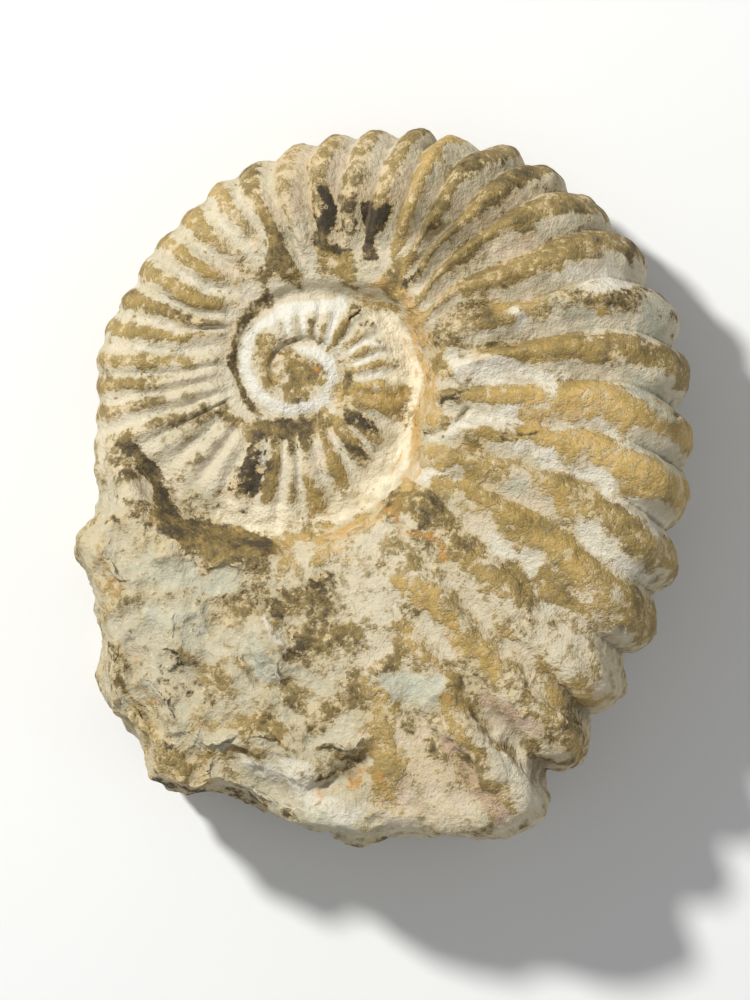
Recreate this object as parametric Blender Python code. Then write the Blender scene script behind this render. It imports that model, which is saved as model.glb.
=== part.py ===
"""Ammonite fossil, one solid piece of stone, lying on its flank.

Metres, +Z up. The origin is under the middle of the fossil, on the surface that it lies on. The coil
opens clockwise as seen from above. A turn angle is counted clockwise from -X round the coil's axis,
and goes below zero on the inner whorls. A share runs across a whorl, from 0 at its inner seam to 1 at
its outer edge.
"""

import math

import bmesh
import bpy
import numpy as np
from mathutils import Vector, noise
from mathutils.kdtree import KDTree

MM = 0.001

# The coil, in millimetres and degrees
COIL_AXIS = (-19.0, 23.0)
LAST_TURN = 340.0  # where the living chamber's broken end crosses the older whorl
END_RAMP = 13.0
CORE_SEAM = ((-700, 1.0), (-560, 2.3), (-450, 3.6), (-360, 5.0))  # turn, radius of the seam inside the core
SEAM_PATH = (  # points on the seam, seen from above, from the core outwards
    (-19.5, 29.5), (-14.5, 29.5), (-11.5, 27), (-10, 23), (-11.5, 17.5), (-18, 14.5), (-22, 15), (-26, 17),
    (-28.5, 19.5), (-30.5, 25), (-30, 29.5), (-26.5, 35.5), (-20.5, 39), (-11.5, 39), (-6.5, 38),
    (-1, 35.5), (3, 30.5), (4.5, 25), (4, 18), (3, 11.5), (0, 4), (-6, -3), (-14, -7.5), (-22, -9.5),
    (-32, -7.5), (-42, -3.5), (-48.5, 3.5), (-54, 10),
)
HALF_THICKNESS = (  # turn, half the whorl's thickness
    (-740, 12.6), (-560, 12.8), (-360, 13.2), (-270, 13.8), (-180, 14.4), (-90, 14.9), (0, 15.2), (60, 15.7),
    (90, 16.4), (135, 19.0), (180, 22.0), (225, 24.0), (270, 24.2), (300, 23.0), (340, 20.0),
)
WALL_WIDTH = (  # turn, width in plan of the wall that drops to the older whorl
    (-560, 1.0), (-276, 1.6), (-180, 2.0), (-40, 2.8), (40, 2.8), (100, 4.0), (150, 7.5), (200, 8.5),
    (250, 8.0), (300, 8.0), (338, 6.0),
)
FLANK_CREST = 0.36  # share at which the flank is highest
INNER_FALL = 0.15  # how far the flank falls to the seam, as a share of the half thickness
OUTER_FALL = 0.17
FALL_LIMITS = (-1.2, 1.3)  # the fall stops growing this far past the seam and the outer edge
MID_HEIGHT = 23.1  # the coil's middle plane above the table, under the origin
MID_SLOPE = (0.063, -0.055)  # it climbs towards the thick end of the coil

# The outline seen from above, at the bottom of the grooves
OUTLINE = (
    (-61.5, 9.5), (-61, 17), (-60.5, 29), (-57.5, 36), (-53.5, 42), (-50, 48.5), (-45, 54), (-38.5, 60),
    (-32, 65), (-22, 70), (-14, 73), (-5, 74.5), (4, 74.5), (13.5, 73), (24.5, 70), (33, 65.5), (41.5, 59),
    (49.5, 50.5), (56, 40), (61, 27), (61.5, 14), (62, 2), (59, -11.5), (56, -25), (49.5, -37), (42.5, -50),
    (34, -62.5), (31, -71.5), (25, -73), (15, -74), (4, -74), (-5.5, -76.5), (-13, -74), (-21.5, -71.5),
    (-31, -67), (-41.5, -66.5), (-48, -64.5), (-51.5, -59), (-55.5, -53), (-59, -49), (-61.5, -43),
    (-60.5, -36), (-61.5, -28), (-62.5, -23), (-65.5, -16), (-65, -10), (-62, -1),
)
RIM_WIDTH = (  # direction from +X in degrees, plan width over which the side rounds off
    (-180, 9.0), (-168, 6.0), (-150, 5.0), (-125, 4.0), (-95, 3.5), (-72, 4.0), (-62, 9.0), (-45, 13.0),
    (0, 14.0), (45, 13.0), (90, 11.0), (135, 9.0), (180, 9.0),
)
RIM_SQUARENESS = 2.4

# Ribs: points along each crest, seen from above, from the root to the outer edge
OUTER_RIBS = (
    ((3.5, -32), (10.5, -41.5), (15.5, -50), (20, -55.5), (26, -62.5), (33, -69.5)),
    ((1.5, -16), (13, -26), (20, -34.5), (27, -41.5), (34, -48.5), (42, -59.5)),
    ((3.5, -4.5), (12, -10), (20, -18.5), (29, -28), (38, -36), (48.5, -43.5)),
    ((17.5, -1), (29, -9), (37.5, -15.5), (46, -23.5), (56.5, -32)),
    ((10, 6.5), (22.5, 3.5), (35, -0.5), (48, -9), (61, -19)),
    ((10, 13), (25, 10), (41.5, 7), (54.5, 1.5), (64.5, -7)),
    ((10, 18.5), (22.5, 18), (37, 18), (52, 15), (65.5, 6.5)),
    ((12, 23), (24, 26.5), (37.5, 28), (50, 28), (65, 19)),
    ((9.5, 30), (18.5, 32.5), (31, 36.5), (46, 38.5), (62, 33.5)),
    ((7.5, 34.5), (14, 40), (24.5, 43), (35.5, 46.5), (46, 49), (56.5, 46)),
    ((7.5, 39), (12, 45), (18.5, 50), (27, 54.5), (36, 57.5), (48, 56)),
    ((5, 42), (10, 49.5), (16, 54.5), (24.5, 61), (33, 65), (40.5, 63)),
    ((4, 45.5), (7, 51.5), (12, 58.5), (15.5, 63.5), (21, 67.5), (29, 69.5)),
    ((3, 50.5), (5, 57), (7.5, 63.5), (11, 69.5), (19.5, 74)),
    ((-3, 50), (-1, 58), (1, 63.5), (4, 69.5), (10, 74.5)),
    ((-8.5, 48.5), (-7.5, 56.5), (-5.5, 66.5), (-3.5, 71.5), (-0.5, 75.5)),
    ((-12.5, 47.5), (-13.5, 56), (-13.5, 63.5), (-12, 69.5), (-9, 74.5)),
    ((-17, 48), (-19.5, 56), (-20.5, 63.5), (-20, 69), (-17, 72)),
    ((-18.5, 43.5), (-21, 48), (-24, 54), (-27, 59), (-28.5, 63.5), (-27, 69)),
    ((-28.5, 52), (-31, 56), (-34, 59), (-36, 64)),
    ((-30.5, 46.5), (-36, 51.5), (-40, 55), (-43, 58.5)),
    ((-32.5, 43), (-38, 45.5), (-44, 49.5), (-48.5, 52.5)),
    ((-32.5, 37.5), (-38.5, 38), (-46, 42), (-52.5, 46.5)),
    ((-33, 33.5), (-40, 34), (-47, 36.5), (-56.5, 40)),
    ((-33.5, 31.5), (-43, 31), (-52, 32), (-59, 33.5)),
    ((-34, 26.5), (-43.5, 25), (-52, 25.5), (-61, 26.5)),
    ((-35, 23.5), (-41, 22.5), (-49, 21), (-61, 20.5)),
    ((-34, 20.5), (-39, 19.5), (-46.5, 17.5), (-54, 16.5), (-61.5, 14.5)),
)
INNER_RIBS = (
    ((-32.5, 18.5), (-39, 15.5), (-46.5, 13), (-53, 10.5)),
    ((-33, 17), (-39, 13.5), (-44.5, 9.5), (-50, 6)),
    ((-31.5, 14.5), (-34.5, 10.5), (-39, 5.5), (-44, 0)),
    ((-29.5, 11), (-32.5, 7), (-35.5, 2), (-38.5, -3.5)),
    ((-27, 10), (-28.5, 6), (-30.5, 0.5), (-32, -4.5)),
    ((-23, 10), (-23, 4.5), (-24, -0.5), (-25, -6)),
    ((-20, 10), (-20, 5), (-20, -0.5), (-20.5, -5)),
    ((-17.5, 11), (-17, 6), (-16.5, 1.5), (-15.5, -2.5)),
    ((-14, 12), (-12.5, 8), (-10.5, 3.5), (-9, 0)),
    ((-11, 13.5), (-9, 10), (-6.5, 7), (-3.5, 4)),
    ((-8.5, 15), (-5, 12.5), (-2, 10), (1, 8)),
    ((-7, 18), (-3.5, 17), (0, 16), (3, 14.5)),
    ((-7, 20.5), (-3.5, 20.5), (0, 20.5), (3.5, 20)),
    ((-7, 24), (-4, 24.5), (-1, 25.5), (3, 26)),
    ((-7.5, 26.5), (-4.5, 28), (-2, 29), (1, 30)),
    ((-8.5, 29), (-6.5, 30.5), (-4.5, 32), (-2.5, 33.5)),
    ((-11, 29.5), (-10, 31.5), (-9, 33.5), (-7, 36)),
    ((-13.5, 30.5), (-13, 33), (-12.5, 35.5), (-12, 37.5)),
    ((-16, 30.5), (-16, 33), (-15.5, 35.5), (-15.5, 38)),
    ((-19, 30.5), (-19.5, 33), (-20, 35.5), (-20.5, 37.5)),
    ((-21.5, 30.5), (-23, 32.5), (-24, 34.5), (-25, 36)),
)
RIB_RISE = (  # turn, height of a rib at its outer end
    (-300, 0.5), (-180, 0.6), (-60, 0.9), (60, 1.2), (110, 1.8), (140, 2.3), (180, 2.7), (260, 3.1),
)
FIRST_SHARE = 0.08  # no rib begins nearer to the seam than this
ROOT_RISE = 0.5  # share of that height at the rib's root
ROOT_FADE = 0.12  # share of the whorl over which a rib comes up out of the flank
ROOT_STEP = 0.25  # and how far up that slope it already stands at its first point
TUCKED_IN = 5.0  # degrees before the broken end from which the outer edge is under the younger whorl
RIB_HALF_WIDTH = (  # turn, share of the gap to the next rib
    (-300, 0.42), (90, 0.42), (140, 0.50), (260, 0.50),
)
RIB_ROUNDNESS = 2.1  # power of a rib's section: 2 is a plain arch, more is flatter on top
RIB_POINTS = 140

# Broken stone on the upper side: height, half width, then the points that each ridge or groove runs through
BREAKS = (
    (1.6, 3.2, ((-25.1, -27.8), (-22.6, -34.6), (-21.5, -42.0))),
    (-2.2, 6.5, ((-29.0, -33.5), (-27.4, -40.0))),
    (-3.4, 4.4, ((-13.2, -64.4), (-8.3, -61.2), (-2.6, -55.9))),
    (1.4, 2.8, ((-13.6, -55.4), (-5.1, -54.6))),
    (1.8, 5.0, ((-0.9, -40.8), (0.4, -49.5), (2.0, -61.5))),
    (-2.0, 6.5, ((5.5, -40.5), (8.5, -43.0))),
    (-1.6, 3.4, ((3.0, -46.6), (6.5, -50.4), (8.7, -54.7))),
    (0.9, 3.0, ((-46.6, -15.4), (-39.1, -17.1), (-30.6, -18.0), (-25.3, -15.4))),
    (-1.4, 5.0, ((-26.0, -23.9), (-36.0, -28.2), (-41.3, -43.1))),
    (1.9, 4.2, ((-38.1, -54.8), (-29.6, -52.7), (-21.0, -53.7), (-15.3, -62.2))),
    (-3.0, 8.0, ((-54.5, -40.0), (-52.0, -50.0))),
    (1.6, 8.5, ((-44.0, -28.0), (-46.0, -36.0))),
    (2.2, 7.0, ((-60.0, -16.0), (-55.0, -21.0))),
    (-2.4, 4.0, ((13.0, -54.8), (18.3, -66.5))),
    (-1.8, 5.0, ((-33.0, -62.0), (-24.0, -64.0))),
)
ROUGH_TURNS = (252.0, 272.0)  # the chamber's filling turns from ribbed to rough stone here
ROUGH_END = (334.0, 348.0)  # and the roughness dies out over the broken end
ROUGH_FROM_SEAM = (5.0, 13.0)  # distance from the seam over which it sets in
SCOOP_SIZE = 13.0
SCOOP_DEPTH = 3.2
SCOOP_LEVEL = 0.55  # share of that depth taken off on average
WEAR_SIZE = 9.0
WEAR_DEPTH = 0.7
WEAR_LEVEL = 0.5
UPPER_RIM = 0.5  # the breaks fade out from here down the upper side's rim
NOISE_OFFSET = Vector((3.1, 7.7, 1.3))

# Mesh
FACE_DIVISIONS = 110  # edges along each side of the cube that becomes the skin
TOP_LIMIT = math.radians(80)  # polar angle on the ball where the upper flank meets the rim
BASE_LIMIT = math.radians(118)
TRIANGLES = 9800
WORN_FLAT = 0.15  # what is this near the table lies on it
SHARP_EDGE = math.radians(40)


def smooth_curve(table, at):
    """A smooth curve through the table's points, read at the numbers given."""
    places, values = np.array(table, float).T
    slopes = np.gradient(values, places)
    at = np.clip(at, places[0], places[-1])
    index = np.clip(np.searchsorted(places, at) - 1, 0, len(places) - 2)
    step = places[index + 1] - places[index]
    t = (at - places[index]) / step
    return (
        values[index] * (1 + 2 * t) * (1 - t) ** 2
        + values[index + 1] * t * t * (3 - 2 * t)
        + step * (slopes[index] * t * (1 - t) ** 2 - slopes[index + 1] * t * t * (1 - t))
    )


def ease(t):
    t = np.clip(t, 0.0, 1.0)
    return t * t * (3 - 2 * t)


def ramp(value, limits):
    """0 at the first limit, 1 at the second, smooth between."""
    low, high = limits
    return ease((value - low) / (high - low))


def outline_table(centre):
    """The outline as direction and distance from a centre, run on past a full circle."""
    x, y = np.array(OUTLINE).T - np.array(centre)[:, None]
    direction = np.degrees(np.arctan2(y, x))
    order = np.argsort(direction)
    direction, distance = direction[order], np.hypot(x, y)[order]
    direction = np.concatenate([direction - 360, direction, direction + 360])
    return np.stack([direction, np.tile(distance, 3)], axis=1)


OUTLINE_FROM_MIDDLE = outline_table((0.0, 0.0))
OUTLINE_FROM_COIL = outline_table(COIL_AXIS)


def coil_angle(x, y):
    """Clockwise from -X round the coil's axis, 0 to 360 degrees, and the distance from the axis."""
    dx, dy = x - COIL_AXIS[0], y - COIL_AXIS[1]
    return np.degrees(np.arctan2(dy, -dx)) % 360, np.hypot(dx, dy)


def seam_table():
    """The seam as turn and radius, from the points it runs through."""
    angle, radius = coil_angle(*np.array(SEAM_PATH, float).T)
    turn = np.degrees(np.unwrap(np.radians(angle)))
    turn += angle[-1] - turn[-1]
    return np.concatenate([CORE_SEAM, np.column_stack([turn, radius])])


SEAM = seam_table()


def outer_edge(angle):
    """Distance from the coil's axis to the outline at an angle."""
    return smooth_curve(OUTLINE_FROM_COIL, (180 - angle + 180) % 360 - 180)


def whorl_limits(turn):
    """Radius of a whorl's inner seam and of its outer edge at a turn angle."""
    inner = smooth_curve(SEAM, turn)
    covered = smooth_curve(SEAM, turn + 360)
    free = outer_edge(turn % 360)
    bare = ease((turn + 360 - LAST_TURN + END_RAMP) / END_RAMP)
    return inner, covered + (free - covered) * bare


def flank(share):
    """How the flank rises to its crest and falls again, 1 at the crest."""
    fall = np.where(share < FLANK_CREST, INNER_FALL, OUTER_FALL)
    span = np.where(share < FLANK_CREST, FLANK_CREST, 1 - FLANK_CREST)
    return 1 - fall * np.clip((share - FLANK_CREST) / span, *FALL_LIMITS) ** 2


def half_thickness(x, y):
    """The coil's half thickness before its rim is rounded, whorl on whorl."""
    angle, radius = coil_angle(x, y)
    newest = np.where(angle < LAST_TURN, angle, angle - 360)
    level = np.full_like(radius, HALF_THICKNESS[0][1])
    for turns_back in (2, 1, 0):
        turn = newest - 360 * turns_back
        inner, outer = whorl_limits(turn)
        share = (radius - inner) / (outer - inner)
        height = smooth_curve(HALF_THICKNESS, turn) * flank(share)
        step = ease((radius - inner) / smooth_curve(WALL_WIDTH, turn))
        if turns_back == 0:
            step *= np.where(angle < LAST_TURN, ease((LAST_TURN - angle) / END_RAMP), 1.0)
        level = level + (height - level) * step
    return level


def middle_plane(x, y):
    return MID_HEIGHT + MID_SLOPE[0] * x + MID_SLOPE[1] * y


def rim(x, y):
    """Outline radius, rim width and distance in from the outline, from the middle of the fossil."""
    direction = np.degrees(np.arctan2(y, x))
    reach = smooth_curve(OUTLINE_FROM_MIDDLE, direction)
    return reach, smooth_curve(RIM_WIDTH, direction), reach - np.hypot(x, y)


def skin(x, y, side, round_off):
    """Points on the smooth coil: side is 1 above and -1 below, round_off 1 on the flank and 0 at the edge."""
    return np.stack([x, y, middle_plane(x, y) + side * half_thickness(x, y) * round_off], axis=-1)


def skin_points(ball):
    """The coil's smooth skin for points of the unit ball, and how much of the upper side each has."""
    polar = np.arccos(np.clip(ball[:, 2], -1, 1))
    direction = np.arctan2(ball[:, 1], ball[:, 0])
    unit_x, unit_y = np.cos(direction), np.sin(direction)
    reach, width, _ = rim(unit_x, unit_y)
    round_the_rim = np.clip((polar - TOP_LIMIT) / (BASE_LIMIT - TOP_LIMIT), 0, 1) * math.pi
    power = 2 / RIM_SQUARENESS
    distance = reach - width * (1 - np.sin(round_the_rim) ** power)
    top = np.sqrt((1 - np.cos(polar)) / (1 - math.cos(TOP_LIMIT)))
    base = np.sqrt((1 + np.cos(polar)) / (1 + math.cos(BASE_LIMIT)))
    distance = np.where(polar < TOP_LIMIT, (reach - width) * top, distance)
    distance = np.where(polar > BASE_LIMIT, (reach - width) * base, distance)
    round_off = np.abs(np.cos(round_the_rim)) ** power
    side = np.where(round_the_rim < math.pi / 2, 1.0, -1.0)
    return skin(unit_x * distance, unit_y * distance, side, round_off), side * round_off


def rib_table(path, on_inner_whorl):
    """A rib as its share across the whorl and its turn angle at each of its points."""
    angle, radius = coil_angle(*np.array(path, float).T)
    turn = np.where(on_inner_whorl | (angle > LAST_TURN), angle - 360, angle)
    inner, outer = whorl_limits(turn)
    return np.column_stack([(radius - inner) / (outer - inner), turn])


def rib_tables():
    tables = [rib_table(path, False) for path in OUTER_RIBS]
    tables += [rib_table(path, True) for path in INNER_RIBS]
    return sorted(tables, key=lambda table: -table[-1, 1])


def rib_lines():
    """Points along every rib with its height and half width there: up the flank, over the rim and down."""
    tables = rib_tables()
    gaps = -np.gradient([table[-1, 1] for table in tables])
    rows = []
    for table, gap in zip(tables, gaps):
        start = max(table[0, 0], FIRST_SHARE)
        covered = table[-1, 1] < LAST_TURN - 360 - TUCKED_IN
        share = 1 - (1 - start) * (1 - np.linspace(0, 1, RIB_POINTS)) ** RIM_SQUARENESS
        turn = smooth_curve(table, share)
        inner, outer = whorl_limits(turn)
        radius = inner + share * (outer - inner)
        x = COIL_AXIS[0] - radius * np.cos(np.radians(turn))
        y = COIL_AXIS[1] + radius * np.sin(np.radians(turn))
        _, width, inwards = rim(x, y)
        fade = ease((share - start) / ROOT_FADE + ROOT_STEP)
        if covered:
            fade = fade * ease((1.0 - share) / ROOT_FADE)
        rise = smooth_curve(RIB_RISE, turn) * (ROOT_RISE + (1 - ROOT_RISE) * share) * fade
        half_width = smooth_curve(RIB_HALF_WIDTH, turn) * np.radians(gap) * radius
        round_off = (1 - (1 - np.clip(inwards / width, 0, 1)) ** RIM_SQUARENESS) ** (1 / RIM_SQUARENESS)
        for side in (1, -1):
            rows.append(np.column_stack([skin(x, y, side, round_off), rise, half_width]))
    return np.concatenate(rows)


def add_ribs(points, normals):
    """Raises the skin along the ribs."""
    lines = rib_lines()
    tree = KDTree(len(lines))
    for index, row in enumerate(lines):
        tree.insert(row[:3], index)
    tree.balance()
    raised = np.zeros(len(points))
    for index, point in enumerate(points):
        _, nearest, distance = tree.find(point)
        rise, half_width = lines[nearest, 3:]
        raised[index] = rise * (1 - min(distance / half_width, 1.0) ** RIB_ROUNDNESS)
    return points + normals * raised[:, None]


def roughness(x, y):
    """1 on the rough stone that fills the living chamber, 0 on the ribbed coil."""
    angle, radius = coil_angle(x, y)
    from_seam = radius - smooth_curve(SEAM, angle)
    return ramp(angle, ROUGH_TURNS) * (1 - ramp(angle, ROUGH_END)) * ramp(from_seam, ROUGH_FROM_SEAM)


def distance_to_path(x, y, path):
    """Distance in plan from each place to a line through the path's points."""
    nearest = np.full(len(x), np.inf)
    for (x0, y0), (x1, y1) in zip(path, path[1:]):
        along = ((x - x0) * (x1 - x0) + (y - y0) * (y1 - y0)) / ((x1 - x0) ** 2 + (y1 - y0) ** 2)
        along = np.clip(along, 0, 1)
        nearest = np.minimum(nearest, np.hypot(x - x0 - along * (x1 - x0), y - y0 - along * (y1 - y0)))
    return nearest


def add_stone(points, normals, upper):
    """Scoops where the rough stone broke, its main ridges and grooves, and light wear everywhere."""
    x, y, _ = points.T
    rough = roughness(x, y)
    moved = np.empty(len(points))
    for index, point in enumerate(points):
        place = Vector(point)
        scoop = noise.voronoi(place / SCOOP_SIZE + NOISE_OFFSET)[0][0] ** 2
        worn = WEAR_LEVEL - noise.noise(place / WEAR_SIZE + NOISE_OFFSET)
        moved[index] = SCOOP_DEPTH * rough[index] * (scoop - SCOOP_LEVEL) - WEAR_DEPTH * worn
    for height, half_width, path in BREAKS:
        moved += height * (1 - ease(distance_to_path(x, y, path) / half_width)) * ease(upper / UPPER_RIM)
    return points + normals * moved[:, None]


def cube_ball(divisions):
    """A ball of even quads, from a cube whose faces are divided and pushed out."""
    mesh = bmesh.new()
    bmesh.ops.create_cube(mesh, size=2.0)
    bmesh.ops.subdivide_edges(mesh, edges=mesh.edges[:], cuts=divisions - 1, use_grid_fill=True)
    for vertex in mesh.verts:
        vertex.co = Vector([math.tan(c * math.pi / 4) for c in vertex.co]).normalized()
    return mesh


def mesh_arrays(mesh):
    """Vertex places and normals of a bmesh."""
    mesh.normal_update()
    points = np.array([vertex.co for vertex in mesh.verts])
    return points, np.array([vertex.normal for vertex in mesh.verts])


def place_vertices(mesh, points):
    for vertex, point in zip(mesh.verts, points):
        vertex.co = point


def fossil_mesh():
    """The whole stone, finely divided, in millimetres, cut flat where it lies on the table."""
    mesh = cube_ball(FACE_DIVISIONS)
    ball, _ = mesh_arrays(mesh)
    points, upper = skin_points(ball)
    place_vertices(mesh, points)
    points, normals = mesh_arrays(mesh)
    place_vertices(mesh, add_ribs(points, normals))
    points, normals = mesh_arrays(mesh)
    points = add_stone(points, normals, upper)
    points[:, 2] = np.maximum(points[:, 2], 0.0)
    place_vertices(mesh, points)
    return mesh


def stone_material():
    material = bpy.data.materials.new("fossil_stone")
    material.use_nodes = True
    shader = material.node_tree.nodes["Principled BSDF"]
    shader.inputs["Base Color"].default_value = (0.52, 0.43, 0.29, 1.0)
    shader.inputs["Roughness"].default_value = 0.85
    shader.inputs["Metallic"].default_value = 0.0
    return material


def reduced(source, name):
    """A new object with the source's mesh thinned out, standing on its base round the origin."""
    thin = source.modifiers.new("fewer_faces", "DECIMATE")
    source.data.calc_loop_triangles()
    thin.ratio = TRIANGLES / len(source.data.loop_triangles)
    graph = bpy.context.evaluated_depsgraph_get()
    mesh = bpy.data.meshes.new_from_object(source.evaluated_get(graph))
    corners = np.array([vertex.co for vertex in mesh.vertices])
    corners[:, :2] -= (corners[:, :2].min(axis=0) + corners[:, :2].max(axis=0)) / 2
    corners[:, 2] = np.where(corners[:, 2] < WORN_FLAT, 0.0, corners[:, 2])
    for vertex, corner in zip(mesh.vertices, corners):
        vertex.co = Vector(corner) * MM
    mesh.name = name
    return bpy.data.objects.new(name, mesh)


def main():
    for item in list(bpy.data.objects):
        bpy.data.objects.remove(item, do_unlink=True)
    collection = bpy.data.collections.new("ammonite_fossil")
    bpy.context.scene.collection.children.link(collection)

    fine = bpy.data.meshes.new("fine_stone")
    mesh = fossil_mesh()
    mesh.to_mesh(fine)
    mesh.free()
    source = bpy.data.objects.new("fine_stone", fine)
    collection.objects.link(source)

    fossil = reduced(source, "ammonite")
    bpy.data.objects.remove(source, do_unlink=True)
    collection.objects.link(fossil)
    fossil.data.materials.append(stone_material())
    fossil.data.shade_smooth()
    fossil.data.set_sharp_from_angle(angle=SHARP_EDGE)


main()
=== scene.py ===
import math

import bpy
import numpy as np
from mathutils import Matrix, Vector


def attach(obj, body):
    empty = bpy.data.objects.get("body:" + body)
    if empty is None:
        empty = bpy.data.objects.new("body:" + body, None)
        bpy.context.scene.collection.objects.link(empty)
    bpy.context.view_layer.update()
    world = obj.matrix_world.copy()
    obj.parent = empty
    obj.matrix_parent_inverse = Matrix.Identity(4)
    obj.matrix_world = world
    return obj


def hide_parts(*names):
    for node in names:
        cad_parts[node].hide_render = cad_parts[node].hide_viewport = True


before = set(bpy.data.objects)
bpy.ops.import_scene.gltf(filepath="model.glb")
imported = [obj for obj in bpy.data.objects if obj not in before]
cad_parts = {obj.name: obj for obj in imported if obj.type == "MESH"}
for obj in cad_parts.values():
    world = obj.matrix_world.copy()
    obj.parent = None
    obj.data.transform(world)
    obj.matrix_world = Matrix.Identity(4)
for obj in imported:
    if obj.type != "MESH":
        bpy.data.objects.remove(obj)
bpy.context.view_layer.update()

mm = 0.001
print("frame loaded:", list(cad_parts))


# The coil is drawn in millimetres. A turn angle runs clockwise from -X round the coil's axis and
# goes below zero on the inner whorls. A share runs across a whorl, 0 at its seam, 1 at its outer edge.
coilShape = {
    "axis": (-19.0, 23.0),
    "lastTurn": 340.0,       # where the living chamber's broken end crosses the older whorl
    "endRamp": 13.0,
    "coreSeam": ((-700, 1.0), (-560, 2.3), (-450, 3.6), (-360, 5.0)),   # turn, radius inside the core
    "seamPath": (            # points on the seam, seen from above, from the core outwards
        (-19.5, 29.5), (-14.5, 29.5), (-11.5, 27), (-10, 23), (-11.5, 17.5), (-18, 14.5), (-22, 15),
        (-26, 17), (-28.5, 19.5), (-30.5, 25), (-30, 29.5), (-26.5, 35.5), (-20.5, 39), (-11.5, 39),
        (-6.5, 38), (-1, 35.5), (3, 30.5), (4.5, 25), (4, 18), (3, 11.5), (0, 4), (-6, -3), (-14, -7.5),
        (-22, -9.5), (-32, -7.5), (-42, -3.5), (-48.5, 3.5), (-54, 10)),
    "halfThickness": (       # turn, half the whorl's thickness
        (-740, 12.6), (-560, 12.8), (-360, 13.2), (-270, 13.8), (-180, 14.4), (-90, 14.9), (0, 15.2),
        (60, 15.7), (90, 16.4), (135, 19.0), (180, 22.0), (225, 24.0), (270, 24.2), (300, 23.0), (340, 20.0)),
    "wallWidth": (           # turn, plan width of the wall that drops to the older whorl
        (-560, 1.0), (-276, 1.6), (-180, 2.0), (-40, 2.8), (40, 2.8), (100, 4.0), (150, 7.5), (200, 8.5),
        (250, 8.0), (300, 8.0), (338, 6.0)),
    "flankCrest": 0.36,      # share at which the flank is highest
    "innerFall": 0.15,
    "outerFall": 0.17,
    "fallLimits": (1.2, 1.3),    # beyond the whorl the fall grows no further than this, inwards and outwards
    "coreTurns": (-330.0, -180.0),   # the core is flatter than the whorls from the second of these turns on
    "coreFall": 0.3,
    "midHeight": 23.1,
    "midSlope": (0.063, -0.055),
    "outline": (             # seen from above, at the bottom of the grooves
        (-61.5, 9.5), (-61, 17), (-60.5, 29), (-57.5, 36), (-53.5, 42), (-50, 48.5), (-45, 54), (-38.5, 60),
        (-32, 65), (-22, 69.5), (-14, 72), (-5, 73.5), (4, 73.5), (13.5, 72), (24.5, 69.5), (33, 65.5),
        (41.5, 59), (49.5, 50.5), (56, 40), (61, 27), (61.5, 14), (62, 2), (59, -11.5), (56, -25),
        (49.5, -37), (42.5, -50), (33.5, -62), (28.5, -68.5), (24, -71), (15, -72), (4, -73), (-5.5, -75.5),
        (-13, -73.5), (-21.5, -71.5), (-31, -67), (-41.5, -66.5), (-48, -64.5), (-51.5, -59), (-55.5, -53),
        (-59, -49), (-61.5, -43), (-60.5, -36), (-61.5, -28), (-62.5, -23), (-65.5, -16), (-65, -10),
        (-62, -1)),
    "rimWidth": (            # direction from +X in degrees, plan width over which the side rounds off
        (-190, 9.0), (-180, 9.0), (-168, 6.0), (-150, 5.0), (-125, 4.0), (-95, 3.5), (-72, 4.0),
        (-62, 9.0), (-45, 13.0), (0, 14.0), (45, 13.0), (90, 11.0), (135, 9.0), (180, 9.0), (190, 9.0)),
    "rimSquareness": 2.4,
    "topLimit": 101.0,       # polar angles on the ball between which the rim lies
    "baseLimit": 136.0,
    "edgePoints": 221,       # points along each edge of the cube that the skin is blown up from
    "upperFade": 0.5,        # share of the side's height over which the upper flank's marks fade out
}

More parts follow.
